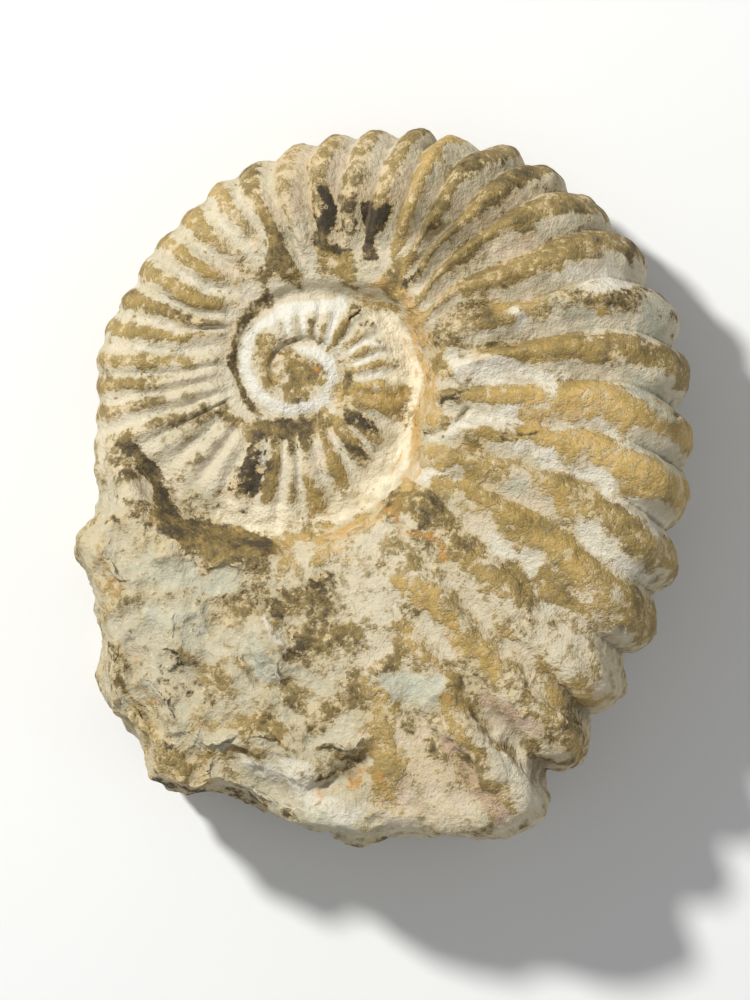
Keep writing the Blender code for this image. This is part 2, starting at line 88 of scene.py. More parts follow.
# Ribs from the chamber's end back to the core: x and y of points along the crest, then how much
# crust it carries at the root, half way and at the tip, and the crust's tone there, golden 0 to black 1
outerRibs = (
    ((3.5, -32, 10.5, -41.5, 15.5, -50, 20, -55.5, 26, -62.5, 33, -69.5),
        (0.75, 0.7, 0.35), (0.25, 0.4, 0.4)),
    ((1.5, -16, 13, -26, 20, -34.5, 27, -41.5, 34, -48.5, 42, -59.5), (0.6, 0.7, 0.8), (0.3, 0.35, 0.5)),
    ((3.5, -4.5, 12, -10, 20, -18.5, 29, -28, 38, -36, 48.5, -43.5), (0.9, 0.5, 0.2), (0.5, 0.35, 0.4)),
    ((17.5, -1, 29, -9, 37.5, -15.5, 46, -23.5, 56.5, -32), (0.5, 0.9, 0.8), (0.3, 0.3, 0.4)),
    ((10, 6.5, 22.5, 3.5, 35, -0.5, 48, -9, 61, -19), (0.7, 0.5, 0.85), (0.15, 0.25, 0.35)),
    ((10, 13, 25, 10, 41.5, 7, 54.5, 1.5, 64.5, -7), (0.7, 0.95, 0.9), (0.45, 0.15, 0.25)),
    ((10, 18.5, 22.5, 18, 37, 18, 52, 15, 65.5, 6.5), (0.75, 0.95, 0.9), (0.45, 0.1, 0.25)),
    ((12, 23, 24, 26.5, 37.5, 28, 50, 28, 65, 19), (0.7, 0.95, 0.9), (0.35, 0.35, 0.5)),
    ((9.5, 30, 18.5, 32.5, 31, 36.5, 46, 38.5, 62, 33.5), (0.6, 0.7, 0.75), (0.5, 0.3, 0.6)),
    ((7.5, 34.5, 14, 40, 24.5, 43, 35.5, 46.5, 46, 49, 56.5, 46), (0.8, 0.85, 0.85), (0.4, 0.45, 0.5)),
    ((7.5, 39, 12, 45, 18.5, 50, 27, 54.5, 36, 57.5, 48, 56), (0.7, 0.8, 0.85), (0.4, 0.4, 0.5)),
    ((5, 42, 10, 49.5, 16, 54.5, 24.5, 61, 33, 65, 40.5, 63), (0.75, 0.85, 0.9), (0.4, 0.42, 0.55)),
    ((4, 45.5, 7, 51.5, 12, 58.5, 15.5, 63.5, 21, 67.5, 29, 69.5), (0.8, 0.85, 0.8), (0.5, 0.5, 0.5)),
    ((3, 50.5, 5, 57, 7.5, 63.5, 11, 69.5, 19.5, 74), (0.75, 0.8, 0.9), (0.5, 0.35, 0.18)),
    ((-3, 50, -1, 58, 1, 63.5, 4, 69.5, 10, 74.5), (0.5, 0.6, 0.85), (0.4, 0.4, 0.5)),
    ((-8.5, 48.5, -7.5, 56.5, -5.5, 66.5, -3.5, 71.5, -0.5, 75.5), (0.5, 0.4, 0.8), (0.4, 0.5, 0.45)),
    ((-12.5, 47.5, -13.5, 56, -13.5, 63.5, -12, 69.5, -9, 74.5), (0.6, 0.5, 0.7), (0.5, 0.6, 0.35)),
    ((-17, 48, -19.5, 56, -20.5, 63.5, -20, 69, -17, 72), (0.2, 0.35, 0.6), (0.5, 0.4, 0.3)),
    ((-18.5, 43.5, -21, 48, -24, 54, -27, 59, -28.5, 63.5, -27, 69), (0.95, 0.85, 0.85), (0.65, 0.45, 0.55)),
    ((-28.5, 52, -31, 56, -34, 59, -36, 64), (0.1, 0.5, 0.85), (0.4, 0.4, 0.25)),
    ((-30.5, 46.5, -36, 51.5, -40, 55, -43, 58.5), (0.2, 0.6, 0.85), (0.45, 0.45, 0.3)),
    ((-32.5, 43, -38, 45.5, -44, 49.5, -48.5, 52.5), (0.2, 0.8, 0.8), (0.45, 0.35, 0.35)),
    ((-32.5, 37.5, -38.5, 38, -46, 42, -52.5, 46.5), (0.4, 0.85, 0.8), (0.35, 0.35, 0.4)),
    ((-33, 33.5, -40, 34, -47, 36.5, -56.5, 40), (0.4, 0.9, 0.85), (0.4, 0.55, 0.4)),
    ((-33.5, 31.5, -43, 31, -52, 32, -59, 33.5), (0.4, 0.8, 0.85), (0.3, 0.35, 0.35)),
    ((-34, 26.5, -43.5, 25, -52, 25.5, -61, 26.5), (0.4, 0.65, 0.7), (0.35, 0.3, 0.35)),
    ((-35, 23.5, -41, 22.5, -49, 21, -61, 20.5), (0.4, 0.5, 0.85), (0.35, 0.4, 0.35)),
    ((-34, 20.5, -39, 19.5, -46.5, 17.5, -54, 16.5, -61.5, 14.5), (0.3, 0.5, 0.75), (0.4, 0.45, 0.4)),
)

innerRibs = (
    ((-32.5, 18.5, -39, 15.5, -46.5, 13, -53, 10.5), (0.3, 0.5, 0.6), (0.4, 0.4, 0.4)),
    ((-33, 17, -39, 13.5, -44.5, 9.5, -50, 6), (0.5, 0.4, 0.3), (0.4, 0.4, 0.4)),
    ((-31.5, 14.5, -34.5, 10.5, -39, 5.5, -44, 0), (0.6, 0.35, 0.5), (0.5, 0.4, 0.5)),
    ((-29.5, 11, -32.5, 7, -35.5, 2, -38.5, -3.5), (0.6, 0.3, 0.1), (0.5, 0.4, 0.4)),
    ((-27, 10, -28.5, 6, -30.5, 0.5, -32, -4.5), (0.4, 0.9, 0.95), (0.5, 0.85, 0.85)),
    ((-23, 10, -23, 4.5, -24, -0.5, -25, -6), (0.8, 0.9, 0.9), (0.6, 0.55, 0.5)),
    ((-20, 10, -20, 5, -20, -0.5, -20.5, -5), (0.9, 0.4, 0.8), (0.7, 0.5, 0.3)),
    ((-17.5, 11, -17, 6, -16.5, 1.5, -15.5, -2.5), (0.9, 0.6, 0.8), (0.7, 0.4, 0.2)),
    ((-14, 12, -12.5, 8, -10.5, 3.5, -9, 0), (0.9, 0.9, 0.85), (0.65, 0.4, 0.3)),
    ((-11, 13.5, -9, 10, -6.5, 7, -3.5, 4), (0.9, 0.9, 0.4), (0.3, 0.6, 0.5)),
    ((-8.5, 15, -5, 12.5, -2, 10, 1, 8), (0.7, 0.8, 0.4), (0.6, 0.5, 0.3)),
    ((-7, 18, -3.5, 17, 0, 16, 3, 14.5), (0.9, 0.9, 0.9), (0.4, 0.3, 0.3)),
    ((-7, 20.5, -3.5, 20.5, 0, 20.5, 3.5, 20), (0.8, 0.9, 0.85), (0.35, 0.3, 0.3)),
    ((-7, 24, -4, 24.5, -1, 25.5, 3, 26), (0.8, 0.8, 0.6), (0.4, 0.4, 0.35)),
    ((-7.5, 26.5, -4.5, 28, -2, 29, 1, 30), (0.7, 0.75, 0.4), (0.45, 0.4, 0.35)),
    ((-8.5, 29, -6.5, 30.5, -4.5, 32, -2.5, 33.5), (0.75, 0.6, 0.3), (0.5, 0.3, 0.3)),
    ((-11, 29.5, -10, 31.5, -9, 33.5, -7, 36), (0.9, 0.85, 0.3), (0.45, 0.5, 0.4)),
    ((-13.5, 30.5, -13, 33, -12.5, 35.5, -12, 37.5), (0.9, 0.7, 0.0), (0.5, 0.5, 0.5)),
    ((-16, 30.5, -16, 33, -15.5, 35.5, -15.5, 38), (0.9, 0.6, 0.0), (0.5, 0.5, 0.5)),
    ((-19, 30.5, -19.5, 33, -20, 35.5, -20.5, 37.5), (0.9, 0.4, 0.0), (0.5, 0.5, 0.5)),
    ((-21.5, 30.5, -23, 32.5, -24, 34.5, -25, 36), (0.6, 0.2, 0.0), (0.5, 0.5, 0.5)),
)

ribShape = {
    "rise": ((-300, 0.6), (-180, 0.8), (-60, 1.0), (60, 1.5), (110, 2.0), (140, 2.5), (180, 2.9), (220, 3.3),
        (260, 3.4)),
    "riseAlong": ((0, 0.55), (0.3, 1.1), (0.55, 1.35), (0.85, 1.2), (1, 1)),     # share of that height
    "spread": ((-300, 0.86), (60, 0.9), (110, 0.98), (260, 1.0)),    # share of the gap that a rib fills
    "crestShift": ((-300, 0), (55, 0), (85, 0.09), (115, 0.17), (215, 0.18), (260, 0.1)),    # in gaps
    "firstShare": 0.08,      # no rib begins nearer to the seam than this
    "endFade": 0.12,         # share over which a rib's end dies away, and how much of it stands at the root
    "rootStep": 0.25,
    "tuckedIn": 5,           # degrees before the chamber's end where the tips stop lying under a whorl
    "flankRoundness": 1.9,   # power of the rib's section: 2 is a plain arch, more is flatter on top
    "backRoundness": 1.35,   # the same for the long slope of a rib whose crest lies towards the core's end
    "tipShares": (0.5, 0.95),    # a rib's flank turns into its tip between these shares
    "tipRise": ((0, 0.5), (60, 0.7), (110, 1), (180, 1.1), (215, 1.3), (240, 1.4)),
    "tipRoundness": ((-300, 2.1), (110, 2.1), (150, 2.5), (190, 2.5), (215, 1.8), (260, 1.6)),
    "tipHook": ((-300, 0), (195, 0), (225, 1), (260, 1)),    # the last tips drop steeply on one side
    "hookFlank": 0.4,        # what a full hook takes from the power on one side and adds on the other
    "hookBack": 1.3,
    "tipWidening": ((-300, 1.3), (100, 1.3), (150, 1.0), (260, 1.0)),
    "grooveWidening": ((-300, 1.2), (60, 1.35), (100, 1.7), (260, 1.6)),     # more makes crests narrower
    "wideningShares": (0.7, 1.0),
    "stainShares": (0.1, 0.5, 0.95),     # where a rib's crust and tone are given
    "unevenness": 0.75,
    "unevenSize": 12,
    "unevenDetail": 2,
    "driftSizes": (6.1, 6.7),
    "driftDetail": 3,
    "cloudRoughness": 0.5,
    "points": 300,
    "leastDistance": 0.05,   # millimetres, so that nothing is divided by zero on a crest
    "sideGain": 4,           # how sharply one side of a crest turns into the other
}


def pairs(path):                 # x, y, x, y and so on, as points
    return list(zip(path[::2], path[1::2]))


def smoothCurve(table, at):      # a smooth curve through the table's points that never swings past them
    places, values = np.array(table, float).T
    rates = np.diff(values) / np.diff(places)
    before, after = np.append(rates[0], rates), np.append(rates, rates[-1])
    steepest = 3 * np.minimum(np.abs(before), np.abs(after)) * (before * after > 0)
    slopes = np.clip(np.gradient(values, places), -steepest, steepest)
    at = np.clip(at, places[0], places[-1])
    index = np.clip(np.searchsorted(places, at) - 1, 0, len(places) - 2)
    step = places[index + 1] - places[index]
    t = (at - places[index]) / step
    return (values[index] * (1 + 2 * t) * (1 - t) ** 2 + values[index + 1] * t * t * (3 - 2 * t)
            + step * (slopes[index] * t * (1 - t) ** 2 - slopes[index + 1] * t * t * (1 - t)))


def easeNumbers(value, low=0.0, high=1.0):
    t = np.clip((value - low) / (high - low), 0, 1)
    return t * t * (3 - 2 * t)


def polarNumbers(x, y):          # clockwise from -X round the coil's axis, and the distance from it
    dx, dy = x - coilShape["axis"][0], y - coilShape["axis"][1]
    return np.degrees(np.arctan2(dy, -dx)) % 360, np.hypot(dx, dy)


def seamTable():
    angle, radius = polarNumbers(*np.array(coilShape["seamPath"], float).T)
    turn = np.degrees(np.unwrap(np.radians(angle)))
    turn += angle[-1] - turn[-1]
    return list(coilShape["coreSeam"]) + list(zip(turn, radius))


coilShape["seam"] = seamTable()


def newNode(tree, kind, feeds=(), **settings):   # feeds are its inputs' values, in order or by name
    node = tree.nodes.new(kind)
    for name, value in settings.items():
        setattr(node, name, value)
    for key, value in feeds.items() if isinstance(feeds, dict) else enumerate(feeds):
        value = value.socket if isinstance(value, Field) else value
        if isinstance(value, bpy.types.NodeSocket):
            tree.links.new(value, node.inputs[key])
        else:
            node.inputs[key].default_value = value
    return node


def calc(tree, operation, *values):
    return Field(tree, newNode(tree, "ShaderNodeMath", values, operation=operation).outputs[0])


class Field:                     # a number worked out at every point, so that a formula reads as one
    def __init__(self, tree, socket):
        self.tree = tree
        self.socket = socket

    def ease(self, low, high):   # 0 at low, 1 at high, smooth between
        node = newNode(self.tree, "ShaderNodeMapRange", {"Value": self, "From Min": low, "From Max": high},
                       interpolation_type="SMOOTHSTEP")
        return Field(self.tree, node.outputs[0])

    def mix(self, other, amount):
        return self + (other - self) * amount

    def along(self, table):      # reads a smooth curve through the table's points
        places, values = np.array(table, float).T
        low, high = values.min(), values.max()
        node = newNode(self.tree, "ShaderNodeFloatCurve",
                       {"Value": (self - places[0]) / (places[-1] - places[0])})
        curve = node.mapping.curves[0]
        spots = [((p - places[0]) / (places[-1] - places[0]), (v - low) / (high - low))
                 for p, v in zip(places, values)]
        for spot in spots[2:]:
            curve.points.new(*spot)
        ordered = sorted(curve.points, key=lambda point: point.location[0])
        for point, spot in zip(ordered, spots):
            point.location = spot
        node.mapping.update()
        return Field(self.tree, node.outputs[0]) * (high - low) + low


def method(operation, turned=False):     # turned puts the field after the other number
    def work(field, *others):
        return calc(field.tree, operation, *((*others, field) if turned else (field, *others)))
    return work


operators = {"add": "ADD", "sub": "SUBTRACT", "mul": "MULTIPLY", "truediv": "DIVIDE", "pow": "POWER"}
for name, operation in operators.items():
    setattr(Field, f"__{name}__", method(operation))
    setattr(Field, f"__r{name}__", method(operation, True))
functions = {"least": "MINIMUM", "most": "MAXIMUM", "sine": "SINE", "cosine": "COSINE", "size": "ABSOLUTE",
             "above": "GREATER_THAN"}
for name, operation in functions.items():
    setattr(Field, name, method(operation))


def hypot(x, y):
    return (x * x + y * y) ** 0.5


def heading(x, y):               # direction from +X in degrees
    return calc(x.tree, "ARCTAN2", y, x) * (180 / math.pi)


def vector(tree, *axes):
    return newNode(tree, "ShaderNodeCombineXYZ", axes).outputs[0]


def parts(tree, socket):
    return [Field(tree, output) for output in newNode(tree, "ShaderNodeSeparateXYZ", (socket,)).outputs]


def vectorCalc(tree, operation, *values, output="Vector"):
    return newNode(tree, "ShaderNodeVectorMath", values, operation=operation).outputs[output]


def noise(tree, where, size, detail, roughness):     # fractal noise from 0 to 1
    feeds = {"Vector": where, "Scale": 1 / size, "Detail": detail, "Roughness": roughness}
    return Field(tree, newNode(tree, "ShaderNodeTexNoise", feeds, noise_dimensions="3D").outputs["Fac"])


def newTree(name, **inputs):     # a modifier's tree with one named input for each size
    tree = bpy.data.node_groups.new(name, "GeometryNodeTree")
    kinds = {float: "NodeSocketFloat", int: "NodeSocketInt", bpy.types.Object: "NodeSocketObject",
             bpy.types.Material: "NodeSocketMaterial"}
    for way in ("INPUT", "OUTPUT"):
        tree.interface.new_socket("Geometry", in_out=way, socket_type="NodeSocketGeometry")
    for label, value in inputs.items():
        tree.interface.new_socket(label, in_out="INPUT", socket_type=kinds[type(value)])
    return tree, newNode(tree, "NodeGroupInput").outputs


def useTree(item, tree, **inputs):   # inputs are set by identifier before the first evaluation
    modifier = item.modifiers.new(tree.name, "NODES")
    modifier.node_group = tree
    for socket in tree.interface.items_tree:
        if socket.in_out == "INPUT" and socket.name in inputs:
            modifier[socket.identifier] = inputs[socket.name]


def here(tree):
    return newNode(tree, "GeometryNodeInputPosition").outputs[0]


def place(tree, geometry, position):
    return newNode(tree, "GeometryNodeSetPosition", {"Geometry": geometry, "Position": position}).outputs[0]


def push(tree, geometry, height):    # moves the surface along its normal
    normal = newNode(tree, "GeometryNodeInputNormal").outputs[0]
    offset = newNode(tree, "ShaderNodeVectorMath", {0: normal, "Scale": height}, operation="SCALE").outputs[0]
    return newNode(tree, "GeometryNodeSetPosition", {"Geometry": geometry, "Offset": offset}).outputs[0]


def keep(tree, geometry, **values):  # stores fields on the points under their names
    for name, value in values.items():
        geometry = newNode(tree, "GeometryNodeStoreNamedAttribute",
                           {"Geometry": geometry, "Name": name, "Value": value},
                           data_type="FLOAT", domain="POINT").outputs[0]
    return geometry


def kept(tree, name):
    node = newNode(tree, "GeometryNodeInputNamedAttribute", {"Name": name}, data_type="FLOAT")
    return Field(tree, node.outputs["Attribute"])


def finishTree(tree, geometry, material):
    solid = newNode(tree, "GeometryNodeRealizeInstances", (geometry,)).outputs[0]
    covered = newNode(tree, "GeometryNodeSetMaterial", {"Geometry": solid, "Material": material}).outputs[0]
    newNode(tree, "NodeGroupOutput", (covered,))


def readNumbers(data, name, width):
    values = np.empty(len(data) * width)
    data.foreach_get(name, values)
    return values.reshape(-1, width)


def readPoints(mesh):
    return readNumbers(mesh.vertices, "co", 3)


def readNormals(mesh):
    return readNumbers(mesh.vertex_normals, "vector", 3)


def writePoints(mesh, points):
    mesh.vertices.foreach_set("co", points.ravel())
    mesh.update()


def readValue(mesh, name):
    return readNumbers(mesh.attributes[name].data, "value", 1)[:, 0]


def onUpperSide(mesh):           # 1 on the upper flank, 0 from the middle of the side down
    return easeNumbers(readValue(mesh, "upper"), 0, coilShape["upperFade"])


def writeValue(mesh, name, values):
    layer = mesh.attributes.get(name) or mesh.attributes.new(name, "FLOAT", "POINT")
    layer.data.foreach_set("value", values.astype(np.float32))


def outlineTable(centre, clockwise):
    x, y = np.array(coilShape["outline"]).T - np.array(centre)[:, None]
    bearing = np.degrees(np.arctan2(y, -x)) % 360 if clockwise else np.degrees(np.arctan2(y, x))
    order = np.argsort(bearing)
    bearing, distance = bearing[order], np.hypot(x, y)[order]
    first, last = [(bearing[-1] - 360, distance[-1])], [(bearing[0] + 360, distance[0])]
    return first + list(zip(bearing, distance)) + last


def coilAngle(x, y):
    dx, dy = x - coilShape["axis"][0], y - coilShape["axis"][1]
    return calc(x.tree, "FLOORED_MODULO", heading(dx * -1, dy), 360), hypot(dx, dy)


def whorlLimits(turn):
    last, ramp = coilShape["lastTurn"], coilShape["endRamp"]
    inner = turn.along(coilShape["seam"])
    covered = (turn + 360).along(coilShape["seam"])
    free = calc(turn.tree, "FLOORED_MODULO", turn, 360).along(outlineTable(coilShape["axis"], True))
    return inner, covered.mix(free, (turn + 360).ease(last - ramp, last))


def flankForm(share, turn):
    crest, leastFall = coilShape["flankCrest"], coilShape["coreFall"]
    insideLimit, outsideLimit = coilShape["fallLimits"]
    inside = ((crest - share).most(0) / crest).least(insideLimit)
    outside = ((share - crest).most(0) / (1 - crest)).least(outsideLimit)
    fall = inside * inside * coilShape["innerFall"] + outside * outside * coilShape["outerFall"]
    return 1 - fall * (turn.ease(*coilShape["coreTurns"]) * (1 - leastFall) + leastFall)


def whorlLevel(x, y):            # half thickness, with the newest whorl's turn and share
    angle, radius = coilAngle(x, y)
    last, ramp = coilShape["lastTurn"], coilShape["endRamp"]
    newest = angle - angle.above(last) * 360
    level = angle * 0 + coilShape["halfThickness"][0][1]
    shownTurn, shownShare = newest, radius * 0
    for turnsBack in (2, 1, 0):
        turn = newest - 360 * turnsBack
        inner, outer = whorlLimits(turn)
        share = (radius - inner) / (outer - inner)
        height = turn.along(coilShape["halfThickness"]) * flankForm(share, turn)
        step = ((radius - inner) / turn.along(coilShape["wallWidth"])).ease(0, 1)
        if turnsBack == 0:
            step = step * angle.ease(last, last - ramp).most(angle.above(last))
        onWhorl = radius.above(inner)
        shownTurn = shownTurn.mix(turn, onWhorl)
        shownShare = shownShare.mix(share, onWhorl)
        level = level.mix(height, step)
    return level, shownTurn, shownShare


def rimForm(x, y):
    bearing = heading(x, y)
    return bearing.along(outlineTable((0, 0), False)), bearing.along(coilShape["rimWidth"])


def skinPlace(x, y, side, roundOff):
    level, turn, share = whorlLevel(x, y)
    slopeX, slopeY = coilShape["midSlope"]
    middle = x * slopeX + y * slopeY + coilShape["midHeight"]
    return vector(x.tree, x, y, middle + level * side * roundOff), turn, share


def blowUp(tree, position):      # cube to ball, then ball to the coil's smooth skin
    tangents = [calc(tree, "TANGENT", axis * (math.pi / 4)) for axis in parts(tree, position)]
    ballX, ballY, ballZ = parts(tree, vectorCalc(tree, "NORMALIZE", vector(tree, *tangents)))
    polar = calc(tree, "ARCCOSINE", ballZ.least(1).most(-1))
    spread = hypot(ballX, ballY).most(1e-6)
    unitX, unitY = ballX / spread, ballY / spread
    reach, width = rimForm(unitX, unitY)
    top, base = math.radians(coilShape["topLimit"]), math.radians(coilShape["baseLimit"])
    power = 2 / coilShape["rimSquareness"]
    roundRim = ((polar - top) / (base - top)).least(1).most(0) * math.pi
    onRim = reach - width * (1 - roundRim.sine().most(0) ** power)
    onTop = (reach - width) * ((1 - ballZ) / (1 - math.cos(top))).most(0) ** 0.5
    onBase = (reach - width) * ((ballZ + 1) / (1 + math.cos(base))).most(0) ** 0.5
    distance = onRim.mix(onTop, 1 - polar.above(top)).mix(onBase, polar.above(base))
    roundOff = roundRim.cosine().size() ** power
    side = 1 - roundRim.above(math.pi / 2) * 2
    skin, turn, share = skinPlace(unitX * distance, unitY * distance, side, roundOff)
    return skin, turn, share, side * roundOff


def limitNumbers(turn):          # a whorl's inner seam and outer edge at a turn
    last, ramp = coilShape["lastTurn"], coilShape["endRamp"]
    covered = smoothCurve(coilShape["seam"], turn + 360)
    free = smoothCurve(outlineTable(coilShape["axis"], True), turn % 360)
    bare = easeNumbers(turn + 360, last - ramp, last)
    return smoothCurve(coilShape["seam"], turn), covered + (free - covered) * bare


def ribTable(path, onInnerWhorl):    # a rib's share across the whorl and its turn at each of its points
    angle, radius = polarNumbers(*np.array(pairs(path), float).T)
    turn = np.where(onInnerWhorl | (angle > coilShape["lastTurn"]), angle - 360, angle)
    inner, outer = limitNumbers(turn)
    return np.column_stack([(radius - inner) / (outer - inner), turn])


def ribTables():
    tables = [(ribTable(path, ribs is innerRibs), crust, tone)
              for ribs in (outerRibs, innerRibs) for path, crust, tone in ribs]
    return sorted(tables, key=lambda rib: -rib[0][-1, 1])


def ribLineObject():             # loose points along every rib, to be laid on the skin by the tree
    ribs = ribTables()
    gaps = -np.gradient([table[-1, 1] for table, _, _ in ribs])
    form, count, rows = ribShape, ribShape["points"], []
    for number, ((table, crust, tone), gap) in enumerate(zip(ribs, gaps)):
        start = max(table[0, 0], form["firstShare"])
        share = 1 - (1 - start) * (1 - np.linspace(0, 1, count)) ** coilShape["rimSquareness"]
        turn = smoothCurve(table, share)
        rise, spread, shift, widening, tipRise, tipRoundness, tipHook, tipWidening = (
            smoothCurve(form[name], turn) for name in ("rise", "spread", "crestShift", "grooveWidening",
                                                       "tipRise", "tipRoundness", "tipHook", "tipWidening"))
        fade = easeNumbers((share - start) / form["endFade"] + form["rootStep"])
        if table[-1, 1] < coilShape["lastTurn"] - 360 - form["tuckedIn"]:
            fade = fade * easeNumbers((1 - share) / form["endFade"])
        toTip = easeNumbers(share, *form["tipShares"])
        lift = rise * smoothCurve(form["riseAlong"], share) * (1 + (tipRise - 1) * toTip) * fade
        shift, hook = shift * (1 - toTip), tipHook * toTip
        roundness = form["flankRoundness"] + (tipRoundness - form["flankRoundness"]) * toTip
        backCut = form["flankRoundness"] - form["backRoundness"]
        mostShift = max(value for _, value in form["crestShift"])
        slope = roundness - backCut * shift / mostShift + form["hookBack"] * hook
        widening = widening + (tipWidening - widening) * easeNumbers(share, *form["wideningShares"])
        crustAlong, toneAlong = (np.interp(share, form["stainShares"], values) for values in (crust, tone))
        for side in (1, -1):
            rows.append({
                "ribTurn": turn + shift * gap, "ribShare": share, "ribSide": side, "ribLift": lift,
                "ribCrestAt": -2 * shift, "ribRoundness": roundness - form["hookFlank"] * hook,
                "ribSlope": slope, "ribSpread": spread, "ribWidening": widening, "ribParity": number % 2,
                "ribCrust": crustAlong, "ribTone": toneAlong})
    mesh = bpy.data.meshes.new("ribLines")
    mesh.vertices.add(len(rows) * count)
    for name in rows[0]:
        writeValue(mesh, name, np.concatenate([np.broadcast_to(row[name], count) for row in rows]))
    item = bpy.data.objects.new("ribLines", mesh)
    bpy.context.scene.collection.objects.link(item)
    return item


def layRibLines(tree, geometry):     # turn and share become places on the upper or lower flank
    turn, share, side = (kept(tree, name) for name in ("ribTurn", "ribShare", "ribSide"))
    inner, outer = whorlLimits(turn)
    radius = inner + (outer - inner) * share
    angle = turn * (math.pi / 180)
    x = angle.cosine() * radius * -1 + coilShape["axis"][0]
    y = angle.sine() * radius + coilShape["axis"][1]
    reach, rimWidth = rimForm(x, y)
    square = coilShape["rimSquareness"]
    inwards = ((reach - hypot(x, y)) / rimWidth).least(1).most(0)
    roundOff = (1 - (1 - inwards) ** square).most(0) ** (1 / square)
    position, _, _ = skinPlace(x, y, side, roundOff)
    return keep(tree, place(tree, geometry, position), ribAngle=angle)


def nearestOf(tree, ribs):       # distance to the nearest of these ribs, side it is passed on, its values
    position = here(tree)
    nearest = newNode(tree, "GeometryNodeSampleNearest", {"Geometry": ribs, "Sample Position": position},
                      domain="POINT").outputs["Index"]

    def read(value, kind="FLOAT"):
        return newNode(tree, "GeometryNodeSampleIndex", {"Geometry": ribs, "Value": value, "Index": nearest},
                       data_type=kind, domain="POINT").outputs["Value"]

    offset = vectorCalc(tree, "SUBTRACT", position, read(position, "FLOAT_VECTOR"))
    distance = Field(tree, vectorCalc(tree, "LENGTH", offset, output="Value"))
    x, y, _ = parts(tree, offset)
    angle, *values = (Field(tree, read(kept(tree, name))) for name in (
        "ribAngle", "ribLift", "ribCrestAt", "ribRoundness", "ribSlope", "ribSpread", "ribWidening",
        "ribCrust", "ribTone"))
    clockwise = (x * angle.sine() + y * angle.cosine()) / distance.most(ribShape["leastDistance"])
    return [distance, (clockwise * ribShape["sideGain"]).least(1).most(-1), *values]


def ribSection(tree, ribs):      # looks up every second rib apart, so that grooves lie half way between two
    split = newNode(tree, "GeometryNodeSeparateGeometry",
                    {"Geometry": ribs, "Selection": kept(tree, "ribParity").above(0.5)}, domain="POINT")
    odd, even = (nearestOf(tree, output) for output in split.outputs)
    nearerOdd = (even[0] - odd[0]).above(0)
    near = odd[0].least(even[0])
    _, side, lift, crestAt, roundness, slope, spread, widening, crust, tone = (
        a.mix(b, nearerOdd) for a, b in zip(even, odd))
    signed = near * 2 / (odd[0] + even[0]).most(ribShape["leastDistance"]) * side
    past = signed - crestAt
    behind = past.above(0)
    reach = (1 - crestAt * (behind * 2 - 1)) * spread
    across = (past.size() / reach).least(1)
    section = (1 - across ** roundness.mix(slope, behind)).most(0) ** widening
    return section * lift, {"ribSigned": signed, "ribCrestAt": crestAt, "ribCrust": crust, "ribTone": tone}


def buildCoilTree():
    tree, given = newTree("coilAndRibs", edgePoints=1, ribHeight=1.0, unevenness=1.0,
                          ribLines=bpy.data.objects["ribLines"], stone=bpy.data.materials["fossilStone"])
    edges = {name: given["edgePoints"] for name in ("Vertices X", "Vertices Y", "Vertices Z")}
    cube = newNode(tree, "GeometryNodeMeshCube", {"Size": (2, 2, 2), **edges})
    skin, turn, share, upper = blowUp(tree, here(tree))
    geometry = keep(tree, cube.outputs["Mesh"], upper=upper, turn=turn, share=share)
    geometry = place(tree, geometry, skin)

    info = newNode(tree, "GeometryNodeObjectInfo", {"Object": given["ribLines"]})
    height, values = ribSection(tree, layRibLines(tree, info.outputs["Geometry"]))
    form, roughness = ribShape, ribShape["cloudRoughness"]
    driftX, driftY = (cloud(tree, size, form["driftDetail"], roughness) for size in form["driftSizes"])
    geometry = keep(tree, geometry, **values, driftX=driftX, driftY=driftY)
    uneven = cloud(tree, form["unevenSize"], form["unevenDetail"], roughness) * given["unevenness"] * 2 + 1
    finishTree(tree, push(tree, geometry, height * given["ribHeight"] * uneven), given["stone"])
    return tree


def meshFrom(item, name):        # the evaluated object as a plain mesh object, without modifiers
    graph = bpy.context.evaluated_depsgraph_get()
    mesh = bpy.data.meshes.new_from_object(item.evaluated_get(graph))
    mesh.name = name
    result = bpy.data.objects.new(name, mesh)
    bpy.context.scene.collection.objects.link(result)
    bpy.data.objects.remove(item, do_unlink=True)
    return result


def makeSmoothCoil():
    seed = bpy.data.objects.new("coilSeed", bpy.data.meshes.new("coilSeed"))
    bpy.context.scene.collection.objects.link(seed)
    ribLines = ribLineObject()
    useTree(seed, buildCoilTree(), edgePoints=coilShape["edgePoints"], ribHeight=1.0,
            unevenness=ribShape["unevenness"], ribLines=ribLines, stone=bpy.data.materials["fossilStone"])
    coil = meshFrom(seed, "coil")
    bpy.data.objects.remove(ribLines, do_unlink=True)
    print("coil and ribs:", len(coil.data.vertices), "points")
    return coil


def nearPath(points, path):      # plan distance to a line, which side (1 is its left), and place along it
    x, y = points[:, 0], points[:, 1]
    nearest, side, placeAlong = np.full(len(x), np.inf), np.zeros(len(x)), np.zeros(len(x))
    corners = pairs(path)
    for number, ((x0, y0), (x1, y1)) in enumerate(zip(corners, corners[1:])):
        runX, runY = x1 - x0, y1 - y0
        t = np.clip(((x - x0) * runX + (y - y0) * runY) / (runX ** 2 + runY ** 2), 0, 1)
        distance = np.hypot(x - x0 - t * runX, y - y0 - t * runY)
        nearer = distance < nearest
        side = np.where(nearer, np.sign(runX * (y - y0) - runY * (x - x0)), side)
        placeAlong = np.where(nearer, (number + t) / (len(corners) - 1), placeAlong)
        nearest = np.minimum(nearest, distance)
    return nearest, side, placeAlong


